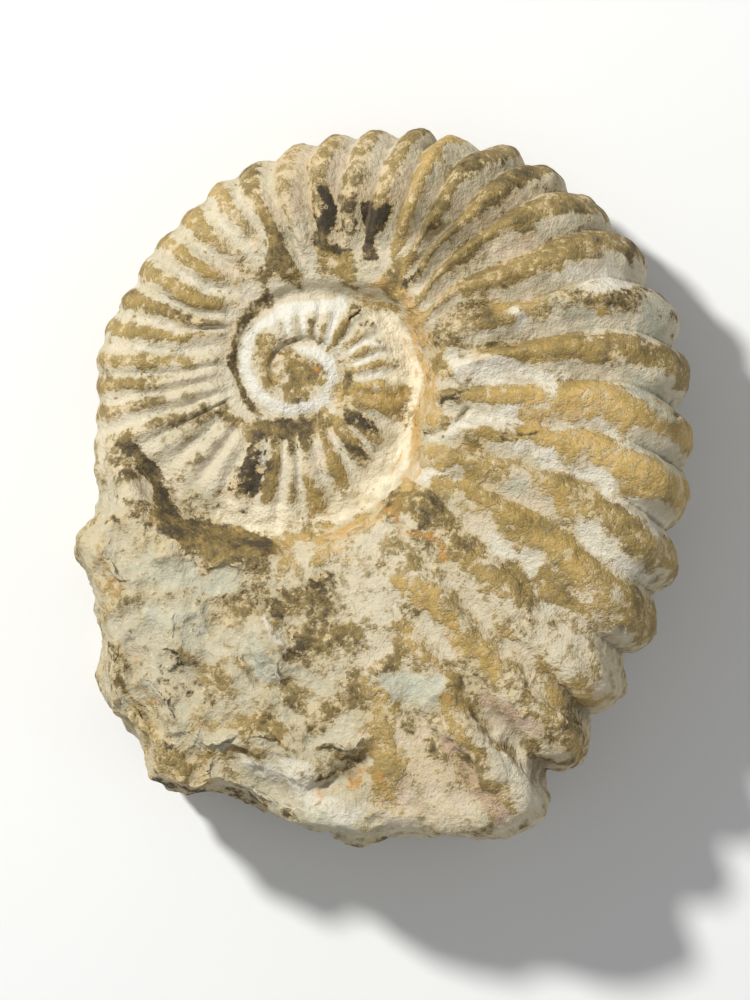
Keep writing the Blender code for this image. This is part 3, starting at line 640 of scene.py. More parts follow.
brokenStone = {
    "ridges": (              # height, half width, then the points that each ridge or groove runs through
        (1.6, 3.2, (-25.1, -27.8, -22.6, -34.6, -21.5, -42)),
        (-2.2, 6.5, (-29, -33.5, -27.4, -40)),
        (-2.2, 5.2, (-13.2, -64.4, -8.3, -61.2, -2.6, -55.9)),
        (1.4, 2.8, (-13.6, -55.4, -5.1, -54.6)),
        (1.8, 5, (-0.9, -40.8, 0.4, -49.5, 2, -61.5)),
        (-2, 6.5, (5.5, -40.5, 8.5, -43)),
        (-1.6, 3.4, (3, -46.6, 6.5, -50.4, 8.7, -54.7)),
        (0.9, 3, (-46.6, -15.4, -39.1, -17.1, -30.6, -18, -25.3, -15.4)),
        (-1.4, 5, (-26, -23.9, -36, -28.2, -41.3, -43.1)),
        (1.9, 4.2, (-38.1, -54.8, -29.6, -52.7, -21, -53.7, -15.3, -62.2)),
        (-3, 8, (-54.5, -40, -52, -50)),
        (1.6, 8.5, (-44, -28, -46, -36)),
        (2.2, 7, (-60, -16, -55, -21)),
        (-2.4, 4, (13, -54.8, 18.3, -66.5)),
        (2, 4.5, (12, -44.5, 18, -53.5, 24.5, -61, 31, -69)),
        (-2, 4.2, (21, -48.5, 27, -55.5, 33, -62)),
        (-1.6, 3.6, (29, -40, 36, -46, 42, -50)),
        (-1.8, 5, (-33, -62, -24, -64))),
    "steps": (               # height by which the line's left side stands up, reach of that, then the line
        (1.9, 9, (-21.8, -42.5, -22.3, -37.5, -23.6, -32.5, -25.5, -27.5)),
        (-1.2, 7, (-31, -33.5, -31.2, -38.5, -28, -42.2, -22, -44.5, -17, -44)),
        (1.6, 9, (-15.5, -62.5, -18, -59, -20, -55, -24.5, -50)),
        (2, 7, (-14, -55.8, -8, -55.6, -1.5, -54.2)),
        (1.6, 6, (-38, -57.2, -31, -56.6, -24.5, -57.4)),
        (-1.5, 5, (-38.6, -64, -38.4, -60.5, -37.5, -57)),
        (1.7, 8, (-43.5, -50, -46.5, -44, -50.5, -38)),
        (1.4, 7, (-48, -53, -43, -52.5, -38.5, -54.5)),
        (-1.5, 7, (0, -44.8, 5.2, -49, 8, -54, 9, -59)),
        (1.8, 8, (5.8, -48.8, 9, -46.8, 12, -44.2, 17, -42.5)),
        (1.9, 8, (22.5, -71.5, 18.5, -66, 14, -59)),
        (1.5, 6, (25, -65, 20.5, -60, 14.5, -52, 11, -46.5)),
        (1.3, 6, (48.5, -44, 46, -37, 42.5, -32, 37, -30.5)),
        (1.5, 6, (26.5, -47, 30, -41, 27.5, -38)),
        (1.2, 6, (35, -41.5, 40, -45.5, 46, -46.5)),
        (1.3, 6, (-63, -13, -58, -16.5, -56.5, -23)),
        (1.1, 6, (-37, -17, -30, -19.5, -23, -16))),
    "pits": (                # depth, radius, middle
        (1.5, 1.9, (62, 16)), (2, 2.2, (50, -31.5)), (1, 2, (-46, -38))),
    "cracks": (              # depth, half width, line
        (0.9, 1, (10, 11.5, 13, 13, 17, 15)), (0.7, 0.8, (-4.5, 37.5, -7.5, 35)),
        (0.7, 0.9, (25, 10.5, 30, 10.8)), (0.7, 0.9, (12, 23, 18, 19.5)),
        (0.7, 1.2, (26, -31, 29.5, -27)), (0.6, 0.9, (20, 5.5, 24, 3))),
    "roughTurns": (246, 268),    # the chamber's filling turns from ribbed to rough stone here
    "batteredTurns": (206, 236),     # and its last ribs are battered from here
    "battered": 0.32,
    "roughEnd": (8, 14),     # degrees past the chamber's end where rough stone stops, and over which
    "roughSeam": (5, 8),     # millimetres from the seam where it begins, and over which
    "ridgePower": 1.5,
    "stepPower": 1.3,
    "stepFace": (-1, 1.2),   # millimetres over which a step rises
    "stepEnds": 0.2,         # share of its length over which it dies away at either end
    "drift": 6,
    "scoopSize": 13,
    "scoopDepth": 3.2,
    "scoopLevel": 0.55,
    "chips": ((0.42, 0.3, 0.07, 0.02), (0.17, 0.08, 0.05, 0.02)),    # size, shares on rough, outer, any stone
    "chipLevel": 0.35,
    "chipReach": (14, 30),   # distance from the coil's axis over which the outer stone's share comes in
    "chipsInStain": 2,
    "wearSize": 9,
    "wearDepth": 1.3,
    "wearDetail": 3,
    "grainSize": 3.2,
    "grainDepth": 0.7,
    "grainDetail": 2,
    "grainShares": (0.9, 0.5, 0.25),     # on rough stone, on outer stone, anywhere
    "grainReach": (9, 24),
    "cloudRoughness": 0.55,
    "crownHeight": 48,       # above this height the relief is worn down by the next share
    "crownWear": 0.44,
    "triangles": 194000,
}


def markRoughStone(mesh):
    points, form = readPoints(mesh), brokenStone
    angle, radius = polarNumbers(points[:, 0], points[:, 1])
    last, (past, length) = coilShape["lastTurn"], form["roughEnd"]
    seamGap, seamRamp = form["roughSeam"]
    outside = easeNumbers((radius - smoothCurve(coilShape["seam"], angle) - seamGap) / seamRamp)
    rough = easeNumbers(angle, *form["roughTurns"]) * easeNumbers((last + past - angle) / length)
    battered = easeNumbers(angle, *form["batteredTurns"]) * easeNumbers(last - angle, 0, length)
    writeValue(mesh, "rough", np.maximum(rough, battered * form["battered"]) * outside)


def driftedSpots(mesh, points, amount):  # places seen from above, wandering so that no mark is regular
    return points[:, :2] + amount * np.column_stack([readValue(mesh, name) for name in ("driftX", "driftY")])


def chiselStone(mesh):
    points, form = readPoints(mesh), brokenStone
    spots, moved = driftedSpots(mesh, points, form["drift"]), np.zeros(len(points))
    for height, halfWidth, path in form["ridges"]:
        moved += height * np.clip(1 - nearPath(spots, path)[0] / halfWidth, 0, 1) ** form["ridgePower"]
    for height, reach, path in form["steps"]:
        distance, side, placeAlong = nearPath(spots, path)
        ends = easeNumbers(placeAlong, 0, form["stepEnds"]) * easeNumbers(1 - placeAlong, 0, form["stepEnds"])
        fall = np.clip(1 - distance / reach, 0, 1) ** form["stepPower"]
        moved += height * easeNumbers(distance * side, *form["stepFace"]) * fall * ends
    for depth, radius, middle in form["pits"]:
        moved -= depth * (1 - easeNumbers(np.hypot(*(spots - middle).T) / radius))
    for depth, halfWidth, path in form["cracks"]:
        moved -= depth * (1 - easeNumbers(nearPath(spots, path)[0] / halfWidth))
    writePoints(mesh, points + readNormals(mesh) * (moved * onUpperSide(mesh))[:, None])


def voronoiScoop(tree, size):
    cells = newNode(tree, "ShaderNodeTexVoronoi", {"Vector": here(tree), "Scale": 1 / size},
                    feature="F1", voronoi_dimensions="3D")
    distance = Field(tree, cells.outputs["Distance"])
    return distance * distance


def cloud(tree, size, detail, roughness):    # fractal noise round zero
    return noise(tree, here(tree), size, detail, roughness) - 0.5


def buildReliefTree():
    tree, given = newTree("stoneRelief", scoopDepth=1.0, grainDepth=1.0, wearDepth=1.0,
                          stone=bpy.data.materials["fossilStone"])
    rough, form, (axisX, axisY) = kept(tree, "rough"), brokenStone, coilShape["axis"]
    x, y, _ = parts(tree, here(tree))
    scoop = (voronoiScoop(tree, form["scoopSize"]) - form["scoopLevel"]) * rough
    outer = hypot(x - axisX, y - axisY).ease(*form["chipReach"])
    chips, flakes = (
        (voronoiScoop(tree, form["scoopSize"] * size) - form["chipLevel"])
        * (rough * onRough + outer * onOuter + anywhere)
        for size, onRough, onOuter, anywhere in form["chips"])
    geometry = keep(tree, given["Geometry"], high=scoop + chips * form["chipsInStain"])
    worn = cloud(tree, form["wearSize"], form["wearDetail"], form["cloudRoughness"])
    relief = (scoop + chips + flakes) * given["scoopDepth"] + worn * given["wearDepth"]
    geometry = push(tree, geometry, relief)
    grain = cloud(tree, form["grainSize"], form["grainDetail"], form["cloudRoughness"]) * given["grainDepth"]
    offset = vector(tree, x - axisX, y - axisY, 0.0)
    fromAxis = Field(tree, vectorCalc(tree, "LENGTH", offset, output="Value"))
    onRough, onOuter, anywhere = form["grainShares"]
    share = rough * onRough + fromAxis.ease(*form["grainReach"]) * onOuter + anywhere
    geometry = push(tree, geometry, grain * share)
    x, y, z = parts(tree, here(tree))
    proud = (z - form["crownHeight"]).most(0)
    geometry = place(tree, geometry, vector(tree, x, y, (z - proud * form["crownWear"]).most(0)))
    finishTree(tree, geometry, given["stone"])
    return tree


def roughenStone(coil):
    markRoughStone(coil.data)
    chiselStone(coil.data)
    depths = {name: brokenStone[name] for name in ("scoopDepth", "grainDepth", "wearDepth")}
    useTree(coil, buildReliefTree(), stone=bpy.data.materials["fossilStone"], **depths)
    squares = 6 * (coilShape["edgePoints"] - 1) ** 2
    fewer = coil.modifiers.new("fewerFaces", "DECIMATE")
    fewer.ratio = brokenStone["triangles"] / (2 * squares)
    stone = meshFrom(coil, "ammoniteStone")
    print("stone relief:", len(stone.data.polygons), "faces")
    return stone


# Stains apart from the ribs' own, in millimetres from above. A name starts a run of marks on its layer:
# amount, then the tone if it is crust or a streak, then half width and path
stains = (
    "crust", (1.35, 0.72, 1.7, (-54, 9, -51.5, 5, -48.5, 0, -46, -5.5)),     # wall under the chamber; its first mark, at the far left, is stain and painted shade
    (1.3, 0.66, 3.3, (-47, -7.5, -43, -10.5, -37, -13)),
    (1.25, 0.6, 2.8, (-38, -12, -31, -12.5, -25, -12.5)), (0.85, 0.2, 1.3, (-24, -11.5, -17, -12)),
    (0.95, 0.66, 1.8, (-39, -17, -31, -16, -25, -15)),
    "cream", (1.0, 1.8, (-34, -7, -26, -8.5, -18, -8.5, -9, -6)),
    (0.95, 2.5, (-8, -4, -2, 0, 2, 6, 4.5, 13, 5, 20, 4, 27, 0, 34)),
    "streak", (0.8, 0.15, 1.6, (-17, -12, -9, -10.5, -2, -7, 2, -3, 5, 1.5)),
    (0.7, 0.2, 1.0, (-11.5, -13.5, -5, -10.5, 1, -5)),
    (0.85, 0.1, 2.4, (6, 4, 7.5, 11, 8.5, 18, 8, 25, 6, 34, 4, 40)),
    "chalk", (1.0, 1.3, (-18.5, 28.5, -14.5, 28, -11.8, 25.5, -11.2, 21.5, -12.5, 18, -16, 16, -20, 15.7,
        -24.5, 17.5, -27.8, 20.5, -29.3, 24.5, -28.8, 29, -26.5, 33, -23, 36)),     # core
    (1.0, 1.6, (-22.5, 36.5, -17, 37.5, -10, 37.5)), (0.95, 0.6, (-24.5, 34, -24, 31.5)),
    (0.95, 0.6, (-21, 36, -20.5, 32)), (0.95, 0.6, (-18, 36.5, -17.5, 32.5)),
    (0.95, 0.7, (-11, 35, -12.5, 30)), (0.9, 0.4, (-18.5, 22, -18, 17.5)),
    (0.9, 0.4, (-5.5, 22.3, 0, 23.5)), (0.9, 0.4, (-6.5, 25, -1, 28)),
    (0.9, 0.4, (-8, 27.5, -5.5, 29.5, -1, 30.3)),
    "crust", (0.9, 0.45, 2.4, (-25, 30, -25.5, 26, -24, 22)),
    (0.9, 0.5, 2.5, (-20.5, 26.5, -16.5, 22, -20, 19.5)),
    "rust", (0.6, 1.5, (-24, 24, -22, 23)), (0.8, 0.5, (-18, 26, -14, 23.5)),
    "crust", (1.0, 0.66, 2.3, (-31, 12.5, -25, 11.5, -19, 11, -13, 12.5)),
    # the next mark, a thin dark line on the wall left of the core ring, is stain and painted shade
    (0.95, 0.62, 0.8, (-32, 30, -32.5, 25, -30, 18.5, -26.5, 14.5)),
    (0.85, 0.55, 2.0, (-34, 16, -31, 12, -30, 10)), (0.95, 0.28, 2.6, (-9, 19, -4, 18.5, 2, 18)),
    (0.8, 0.6, 1.3, (-8, 24, -8.5, 17)), (0.85, 0.68, 1.4, (-7, 13.5, -4, 13)),
    (0.8, 0.3, 0.9, (-10, 14, -8.5, 11, -7, 10)), (0.95, 0.88, 2.2, (-31.5, -3.5, -28.5, 2)),
    (0.9, 0.6, 1.5, (-12, 48, -9.5, 48)), (0.62, 0.55, 0.9, (-6.5, 58.5, -7.5, 55)),     # above the core
    (1.5, 0.88, 1.4, (-1.2, 58, -2.8, 53, -3.8, 49)), (1.5, 0.92, 1.3, (-13.2, 62, -13, 56, -12.3, 48.5)),
    (1.5, 0.86, 1.7, (-12.6, 54, -11.8, 49)), (1.0, 0.5, 2.2, (-12, 48, -9, 45, -7.5, 44)),
    (0.6, 0.3, 0.8, (-13.5, 43, -9, 44, -7, 42.5)),
    "rust", (0.9, 1.8, (-2.5, 41.5, -2, 43)),
    "crust", (0.85, 0.35, 1.0, (-3, 39, 1, 37, 2, 36)), (0.95, 0.95, 0.3, (-4.5, 37.5, -7.5, 35)),
    (0.6, 0.85, 0.8, (-5, 33, -3, 33)), (0.8, 0.85, 0.7, (5.5, 41, 6.5, 45)),
    (0.7, 0.3, 1.6, (3.5, 44, 4, 48)), (0.68, 0.55, 2.6, (-31, 45, -26, 44, -22, 45)),
    (0.72, 0.6, 1.8, (-33, 31, -30.5, 35, -25, 39.5)), (0.7, 0.5, 3.0, (14, 34, 20, 38)),     # right flank
    (0.85, 0.25, 2.2, (24, 37, 31, 38)), (0.75, 0.55, 1.3, (13, 30, 19, 29, 27, 28.5)),
    "pale", (0.95, 1.3, (27.5, 36.5, 28, 34)),
    "rust", (0.8, 0.6, (29.5, 53.5, 28.5, 51.5, 26.5, 50)),
    "crust", (0.8, 0.15, 1.0, (44, 36.5, 48, 36.5)),
    "grey", (0.8, 4.0, (58, 36, 56, 33)), (0.7, 3.0, (36, 36, 43, 34)),
    "pale", (1.0, 2.5, (38, 43, 48, 43)),
    "grey", (0.8, 2.4, (52, 21.5, 57, 18.5, 61, 16)),
    "crust", (0.9, 0.4, 1.2, (12, 29, 11, 25, 10, 22)), (0.7, 0.75, 1.0, (12, 18, 17, 19)),
    (0.8, 0.8, 0.4, (10, 11.5, 13, 13, 17, 15)), (0.95, 0.75, 0.5, (25, 10.5, 30, 10.5)),
    "pale", (1.0, 2.2, (16, 25, 24, 23, 36, 22)),
    "crust", (0.9, 0.12, 3.0, (32, 14, 40, 16, 50, 15)), (0.85, 0.15, 3.0, (40, 10, 50, 5, 55, 0)),
    "pale", (1.0, 1.4, (28, 8, 35, 6, 42, 2, 50, -3, 58, -8)), (0.7, 0.8, (38, 12, 46, 12, 50, 11)),
    "grey", (0.7, 1.8, (50, 10, 56, 7, 61, 4)),
    "pale", (0.9, 2.0, (8, 2, 12, 1)), (0.9, 1.8, (13, 12, 20, 13, 28, 14)),
    "crust", (0.8, 0.25, 1.6, (11, 4, 20, 4, 16, 0, 10, -1)), (0.75, 0.35, 1.5, (18, 7, 14, 6)),
    (0.6, 0.15, 1.3, (18.5, -5.5, 22, -6.5)),
    "grey", (0.7, 2.0, (25, 0, 28, -1)),
    "crust", (0.8, 0.15, 2.2, (31, 1, 38, -4, 42, -6)), (0.9, 0.25, 2.6, (32, -12, 38, -14, 41, -18)),
    (0.85, 0.4, 2.2, (48, -11, 53, -14, 57, -17)), (0.8, 0.3, 1.6, (24, -7, 30, -13)),
    "pale", (0.72, 2.6, (22, -12, 28, -17, 35, -24)), (0.75, 2.0, (42, -11, 48, -15, 55, -21)),
    "crust", (0.95, 0.55, 1.8, (2, -4, 8, -4.5, 13, -9, 18, -14, 20, -18)),     # below the coil
    "rust", (0.9, 1.1, (0.5, -4.5, 5, -8.5, 10, -12.5, 14.5, -16)),
    "crust", (0.9, 0.45, 2.8, (20, -20, 26, -20, 29, -24)), (0.9, 0.4, 2.4, (16, -14, 21, -19, 24, -22)),
    (0.85, 0.3, 2.2, (34, -21, 40, -25, 47, -27)), (0.85, 0.35, 2.4, (33, -46, 38, -51, 42, -57)),
    (0.9, 0.22, 2.3, (2, -19, 8, -24, 14, -30, 20, -36, 23, -38)), (0.7, 0.55, 2.5, (1, -24, 5, -26)),
    (0.85, 0.3, 1.5, (3, -31, 8, -36, 11, -41)), (0.65, 0.42, 2.2, (-1, -37, 4, -38)),
    "grey", (1.0, 2.4, (0, -42.5, 6, -44.5, 10, -43)),
    "crust", (0.8, 0.58, 0.6, (1, -46.5, 6, -52, 9, -56, 9, -60)),
    (0.85, 0.35, 2.0, (1, -48, 1, -55, 2, -60)), (0.95, 0.35, 1.3, (12, -46, 17, -54, 19, -58)),
    "mauve", (1.2, 2.2, (13, -55, 18, -61, 24, -69)), (0.8, 2.4, (22, -46, 27, -48, 33, -51)),
    (0.6, 2.4, (3, -61, 6, -68)),
    "crust", (0.7, 0.45, 2.0, (22, -42, 29, -41)), (0.8, 0.6, 2.4, (37, -47, 39, -53)),
    (0.6, 0.4, 2.0, (44, -30, 48, -28, 53, -28)), (0.66, 0.5, 6.5, (-15, -25, -16, -33, -12, -36)),
    (0.8, 0.58, 3.4, (-20, -26, -14, -22, -17, -33)), (0.75, 0.5, 3.0, (-14, -33, -10, -31, -6, -31)),
    (0.72, 0.5, 3.4, (-8, -38, -7, -45, -12, -48)), (0.7, 0.5, 3.2, (-19, -45, -12, -49)),     # rough filling
    (0.72, 0.5, 3.2, (-38, -30, -35, -26, -29, -27)), (0.85, 0.6, 1.6, (-56, 4.5, -54, 2.5)),
    (0.62, 0.35, 3.4, (-52, -48, -47, -57, -40, -61)), (0.6, 0.35, 3.2, (-33, -44, -38, -38, -44, -30)),
    (0.6, 0.3, 2.8, (-28, -49, -33, -50, -40, -50)), (0.55, 0.25, 3.0, (-61, -12, -59, -20, -60, -27)),
    (0.6, 0.4, 2.6, (5, -11, 2, -15, -4, -18)), (0.58, 0.35, 4.0, (-16, -12, -9, -14, -3, -13)),
    "grey", (0.7, 3.0, (-50, -18, -44, -20, -34, -22)),
    "pale", (0.7, 2.6, (-20, -60, -14, -66, -8, -70)), (0.7, 2.4, (-30, -58, -24, -62)),
    "crust", (0.7, 0.2, 2.2, (34, -45, 40, -44, 46, -44)),
    (0.75, 0.3, 1.6, (12, -41, 17, -47, 22, -53, 25, -57)), (0.85, 0.55, 1.5, (28, -52, 34, -57, 38, -61)),
    (0.8, 0.4, 1.0, (20, -61, 25, -66, 29, -70)),
    "pale", (0.5, 1.8, (21, -55, 26, -61, 31, -66)),
    "rust", (0.55, 1.2, (12, -45, 15, -49, 17, -53)), (0.5, 1.6, (-62, -14, -60, -19, -59, -25)),
    (0.6, 1.4, (-5, -60, 0, -63, 3, -68)),
    "crust", (0.65, 0.3, 3.0, (24, -30, 30, -36, 36, -40)),
    (0.75, 0.65, 1.4, (-54, -3.5, -51, -5, -57, -8.5)),
    "rust", (0.5, 2.0, (-59, -18, -57, -22)),
    "crust", (0.85, 0.55, 0.7, (-58, -40.5, -55.5, -44, -52, -49)),
    "rust", (0.9, 0.7, (-56, -32.5, -56.5, -37)), (0.7, 0.9, (-52, -33, -51.5, -40, -50.5, -45)),
    "crust", (0.7, 0.9, 0.8, (-45, -34, -46, -38)), (0.7, 0.85, 0.7, (-48, -39.5, -46.5, -42)),
    "grey", (0.7, 4.0, (-47, -28, -40, -30)), (1.0, 2.6, (-28, -35, -25, -41)),
    "pale", (0.7, 0.8, (-24.5, -29, -23, -34, -21.5, -42)),
    "crust", (0.7, 0.45, 0.9, (-33, -34, -30, -40, -26, -43, -19, -43)),
    (0.8, 0.45, 1.3, (-30, -52, -25, -50.5, -21.5, -54.5)),
    (0.75, 0.4, 1.0, (-37, -58, -33, -57, -25, -57)),
    "rust", (0.5, 0.8, (-38, -57, -37, -63)),
    "crust", (0.85, 0.5, 1.0, (-12, -56, -7, -57, -3, -55)),
    # the next mark darkens the hollow under the ledge: stain and painted shade
    (0.85, 0.7, 0.9, (-5, -57.5, -9, -60.5, -13, -62)),
    "rust", (0.75, 1.3, (-13, -65.5, -7, -62, -3, -58.5)),
    "crust", (0.8, 0.3, 2.8, (-3, -43, -2, -53, 1, -58, 0, -67)), (0.8, 0.4, 1.8, (-1, -67, 1, -69)),
    # the next two marks darken the bottom-left under-edge: stain and painted shade
    (0.8, 0.7, 1.4, (-49, -63.5, -40, -65.5, -31, -66.5)),
    (0.75, 0.65, 1.2, (-28, -67, -18, -71, -12, -73.5)),
    "grey", (0.6, 3.0, (-15, -70, -6, -70)),
)

paintLayers = ("pale", "grey", "cream", "mauve", "chalk", "rust", "streak")
stainRules = {
    # by turn, in half gaps: how far the crust reaches either side of a crest
    "before": ((-300, 0.62), (0, 0.56), (60, 0.6), (90, 0.75), (120, 0.88), (340, 0.85)),
    "behind": ((-300, 0.62), (0, 0.56), (60, 0.6), (90, 0.52), (120, 0.48), (215, 0.6), (340, 0.7)),
    "crustEdge": (0.6, 1.3),     # shares of that reach between which it ends
    "chalkGrooves": ((-340, 0), (-310, 0.66), (-10, 0.58), (55, 0.6), (85, 0.5), (110, 0.2), (200, 0)),
    "grooveEdge": (0.5, 0.95),
    "tipEdge": (0.05, 0.3),      # the chalk ends this share of the whorl before the rim
    "paleBacks": ((60, 0), (100, 0.35), (215, 0.3), (240, 0)),
    "backEdge": (0.5, 0.9),
    "tanTurns": (190, 215),
    "film": (0.26, 0.14, 0.18),  # the least crust: anywhere, more on rough stone, more on the last ribs
    "ribCrust": (1.05, 0.4),     # gain of the ribs' crust, and what rough stone takes from it
    "highCrust": 0.4,            # what the proud parts of rough stone carry
    "wander": 1.1,
    "drift": 12,                 # millimetres by which the stains' edges wander
    "steady": (0.15, 0.85),      # share of that at the core, and what is added away from it
    "steadyReach": (12, 26),
    "markEdge": (0.3, 1.8),      # in half widths
    "toneFrom": 0.8,             # a mark sets the tone where it covers more than this share of the crust
    "clears": 0.75,              # share of the crust that a light mark takes away
    "hollowRounds": 12,
}


# The depth found here sets where shade is painted into creases and hollows.
def hollowness(mesh):            # millimetres by which each point lies below the stone round it
    points, edges = readPoints(mesh), np.empty(len(mesh.edges) * 2, int)
    mesh.edges.foreach_get("vertices", edges)
    first, second = edges.reshape(-1, 2).T
    total, smooth = len(points), points.copy()
    neighbours = np.bincount(edges, minlength=total)
    for _ in range(stainRules["hollowRounds"]):
        for axis in range(3):
            values = smooth[:, axis]
            around = np.bincount(first, values[second], total) + np.bincount(second, values[first], total)
            smooth[:, axis] = around / neighbours
    return ((smooth - points) * readNormals(mesh)).sum(axis=1)


def ribStains(mesh):             # the crust's amount and tone, the chalk of the grooves, the pale backs
    rules, value = stainRules, {name: readValue(mesh, name) for name in (
        "turn", "share", "ribSigned", "ribCrestAt", "driftX", "ribCrust", "ribTone", "rough", "high")}
    before, behind, chalky, paleBack = (
        smoothCurve(rules[name], value["turn"]) for name in ("before", "behind", "chalkGrooves", "paleBacks"))
    rough = value["rough"]
    past = value["ribSigned"] - value["ribCrestAt"] + value["driftX"] * rules["wander"]
    edge = easeNumbers(np.where(past > 0, past / behind, -past / before), *rules["crustEdge"])
    anywhere, onRough, onLast = rules["film"]
    film = anywhere + np.maximum(onRough * rough, onLast * easeNumbers(value["turn"], *rules["tanTurns"]))
    gain, roughLoss = rules["ribCrust"]
    crust = np.maximum(value["ribCrust"] * (1 - edge) * (gain - roughLoss * rough), film)
    crust = crust + value["high"] * rough * rules["highCrust"]
    groove = easeNumbers(np.abs(value["ribSigned"]), *rules["grooveEdge"]) * (1 - rough)
    chalk = groove * chalky * easeNumbers(1 - value["share"], *rules["tipEdge"])
    return crust, value["ribTone"], chalk, easeNumbers(past, *rules["backEdge"]) * paleBack * (1 - rough)


def paintStone(mesh):            # how much of each stain lies on every point
    points, upper, rules = readPoints(mesh), onUpperSide(mesh), stainRules
    angle, radius = polarNumbers(points[:, 0], points[:, 1])
    atCore, added = rules["steady"]
    steady = atCore + added * easeNumbers(radius, *rules["steadyReach"])
    spots = driftedSpots(mesh, points, rules["drift"] * steady[:, None])
    layers = {name: np.zeros(len(points)) for name in paintLayers}
    crust, tone, layers["chalk"], layers["pale"] = ribStains(mesh)
    for mark in stains:
        if isinstance(mark, str):
            layer = mark
            continue
        amount, *markTone, halfWidth, path = mark
        solid, end = (halfWidth * share for share in rules["markEdge"])
        cover = (1 - easeNumbers(nearPath(spots, path)[0], solid, end)) * amount * upper
        if markTone:
            tone = np.where(cover > crust * rules["toneFrom"], *markTone, tone)
        if layer == "crust":
            crust = np.maximum(crust, cover)
            layers["pale"] = layers["pale"] * (1 - cover)
            layers["chalk"] = layers["chalk"] * (1 - cover)
            continue
        layers[layer] = np.maximum(layers[layer], cover)
        if layer in ("pale", "chalk", "cream", "grey"):
            crust = crust * (1 - cover * rules["clears"])
    layers.update(crust=crust, tone=tone, hollow=hollowness(mesh))
    layers["across"] = radius - smoothCurve(coilShape["seam"], angle)
    for name, values in layers.items():
        writeValue(mesh, name, values)
    print("stains painted:", sum(not isinstance(mark, str) for mark in stains))


stoneLooks = {
    "grains": {"cloudy": 38, "patchy": 9, "small": 3.4, "fine": 1.1, "sand": 0.42},  # sizes in millimetres
    "grainDetail": 4,
    "grainRoughness": 0.6,
    "grainGain": 4.4,
    "ragged": {"patchy": 0.26, "small": 0.32, "fine": 0.24, "sand": 0.07},   # how the stains' edges break up
    "flakeSize": 2.6,
    "flakeDetail": 3,
    "flakeSand": 0.3,
    "bareEdge": (0.35, 0.6),     # where the crust has flaked off, and how much of it has
    "bareShare": 0.4,
    "streakSize": 1.2,
    "streakLength": 0.00007,     # metres of noise to a degree round the axis, less makes streaks longer
    "streakEdge": (0.05, 0.3),
    "tone": {"tone": 1, "patchy": 0.22, "small": 0.22, "fine": 0.17, "sand": 0.1},
    "darkTones": (0.5, 0.8),     # crust of these tones has no light flecks
    "fleckShare": 0.6,
    "warm": (204, 194, 168),     # the bare stone
    "covers": (                  # name, colour, what it follows, where it begins and is full, its strength
        ("cool", (187, 182, 158), {"patchy": 1, "cloudy": 1, "small": 0.5}, -0.35, 0.35, 1),
        ("blush", (207, 183, 155), {"patchy": -0.6, "cloudy": 1, "small": -0.4}, 0.15, 0.8, 0.5),
        ("filling", (178, 171, 144), {"rough": 0.9, "patchy": 0.25, "small": 0.2}, 0.2, 0.9, 0.75),
        ("grey", (184, 183, 162), {"grey": 1, "ragged": 0.6}, 0.25, 0.9, 1),
        ("pale", (217, 211, 193), {"pale": 1, "ragged": 0.6}, 0.25, 0.9, 1),
        ("cream", (230, 219, 190), {"cream": 1, "ragged": 0.6}, 0.25, 0.9, 1),
        ("mauve", (172, 146, 128), {"mauve": 1, "ragged": 0.6}, 0.25, 0.9, 1),
        ("lit", (234, 227, 207), {"fine": 0.6, "sand": 0.5}, 0, 0.9, 0.5),
        ("tan", (203, 179, 130), {"crust": 1, "cloudy": 0.15, "patchy": 0.3, "small": 0.25, "fine": 0.2},
            0.1, 0.85, 0.82),
        ("ochre", (198, 162, 100), {"streak": 0.6, "streaks": 0.5, "fine": 0.2}, 0.1, 0.75, "streaked"),
        ("crust", "crustTones", {"crust": 1, "ragged": 1.2, "bare": -1}, 0.42, 0.86, 0.96),
        ("fleck", (222, 207, 171), {"small": 0.5, "fine": 0.7, "sand": 0.5}, 0.3, 0.9, "onLight"),
        ("speck", (76, 63, 40), {"fine": -0.7, "sand": 0.7}, 0.6, 1.1, 0.6),
        ("rust", (203, 150, 78), {"rust": 1, "ragged": 1.1}, 0.4, 1.3, 0.75),
        ("chalk", (221, 218, 205), {"chalk": 1, "ragged": 0.35}, 0.35, 0.9, 0.92),
        # painted shade: the stone is darkened where it lies below the stone round it, in its creases and
        # hollows
        ("paintedShade", (112, 98, 70), {"hollow": 1, "fine": 0.06}, 0.32, 1, 0.6)),
    "crustTones": (
        (0.0, (210, 178, 114)), (0.2, (184, 154, 88)), (0.4, (153, 129, 71)), (0.6, (120, 102, 58)),
        (0.8, (72, 61, 40)), (1.0, (42, 36, 27))),
    "roughness": (0.78, 0.95),
    "dullness": {"fine": 0.4, "patchy": 0.4, "crustCover": -0.6},
    "dullEdge": (-1, 0.6),
    "bump": {"small": 0.8, "fine": 0.45, "sand": 0.12, "crustCover": 0.6, "flakes": 0.25},
    "bumpHeight": 0.00026,
}


def linear(colour):              # screen colour of 0 to 255 to the shader's own values
    values = [part / 255 for part in colour]
    return (*[v / 12.92 if v < 0.04045 else ((v + 0.055) / 1.055) ** 2.4 for v in values], 1)


def crustColour(tree, tone):
    ramp = newNode(tree, "ShaderNodeValToRGB", {"Fac": tone})
    stops = ramp.color_ramp.elements
    for number, (where, colour) in enumerate(stoneLooks["crustTones"]):
        stop = stops[number] if number < 2 else stops.new(where)
        stop.position, stop.color = where, linear(colour)
    return ramp.outputs["Color"]


def painted(tree, name):
    return Field(tree, newNode(tree, "ShaderNodeAttribute", attribute_name=name).outputs["Fac"])


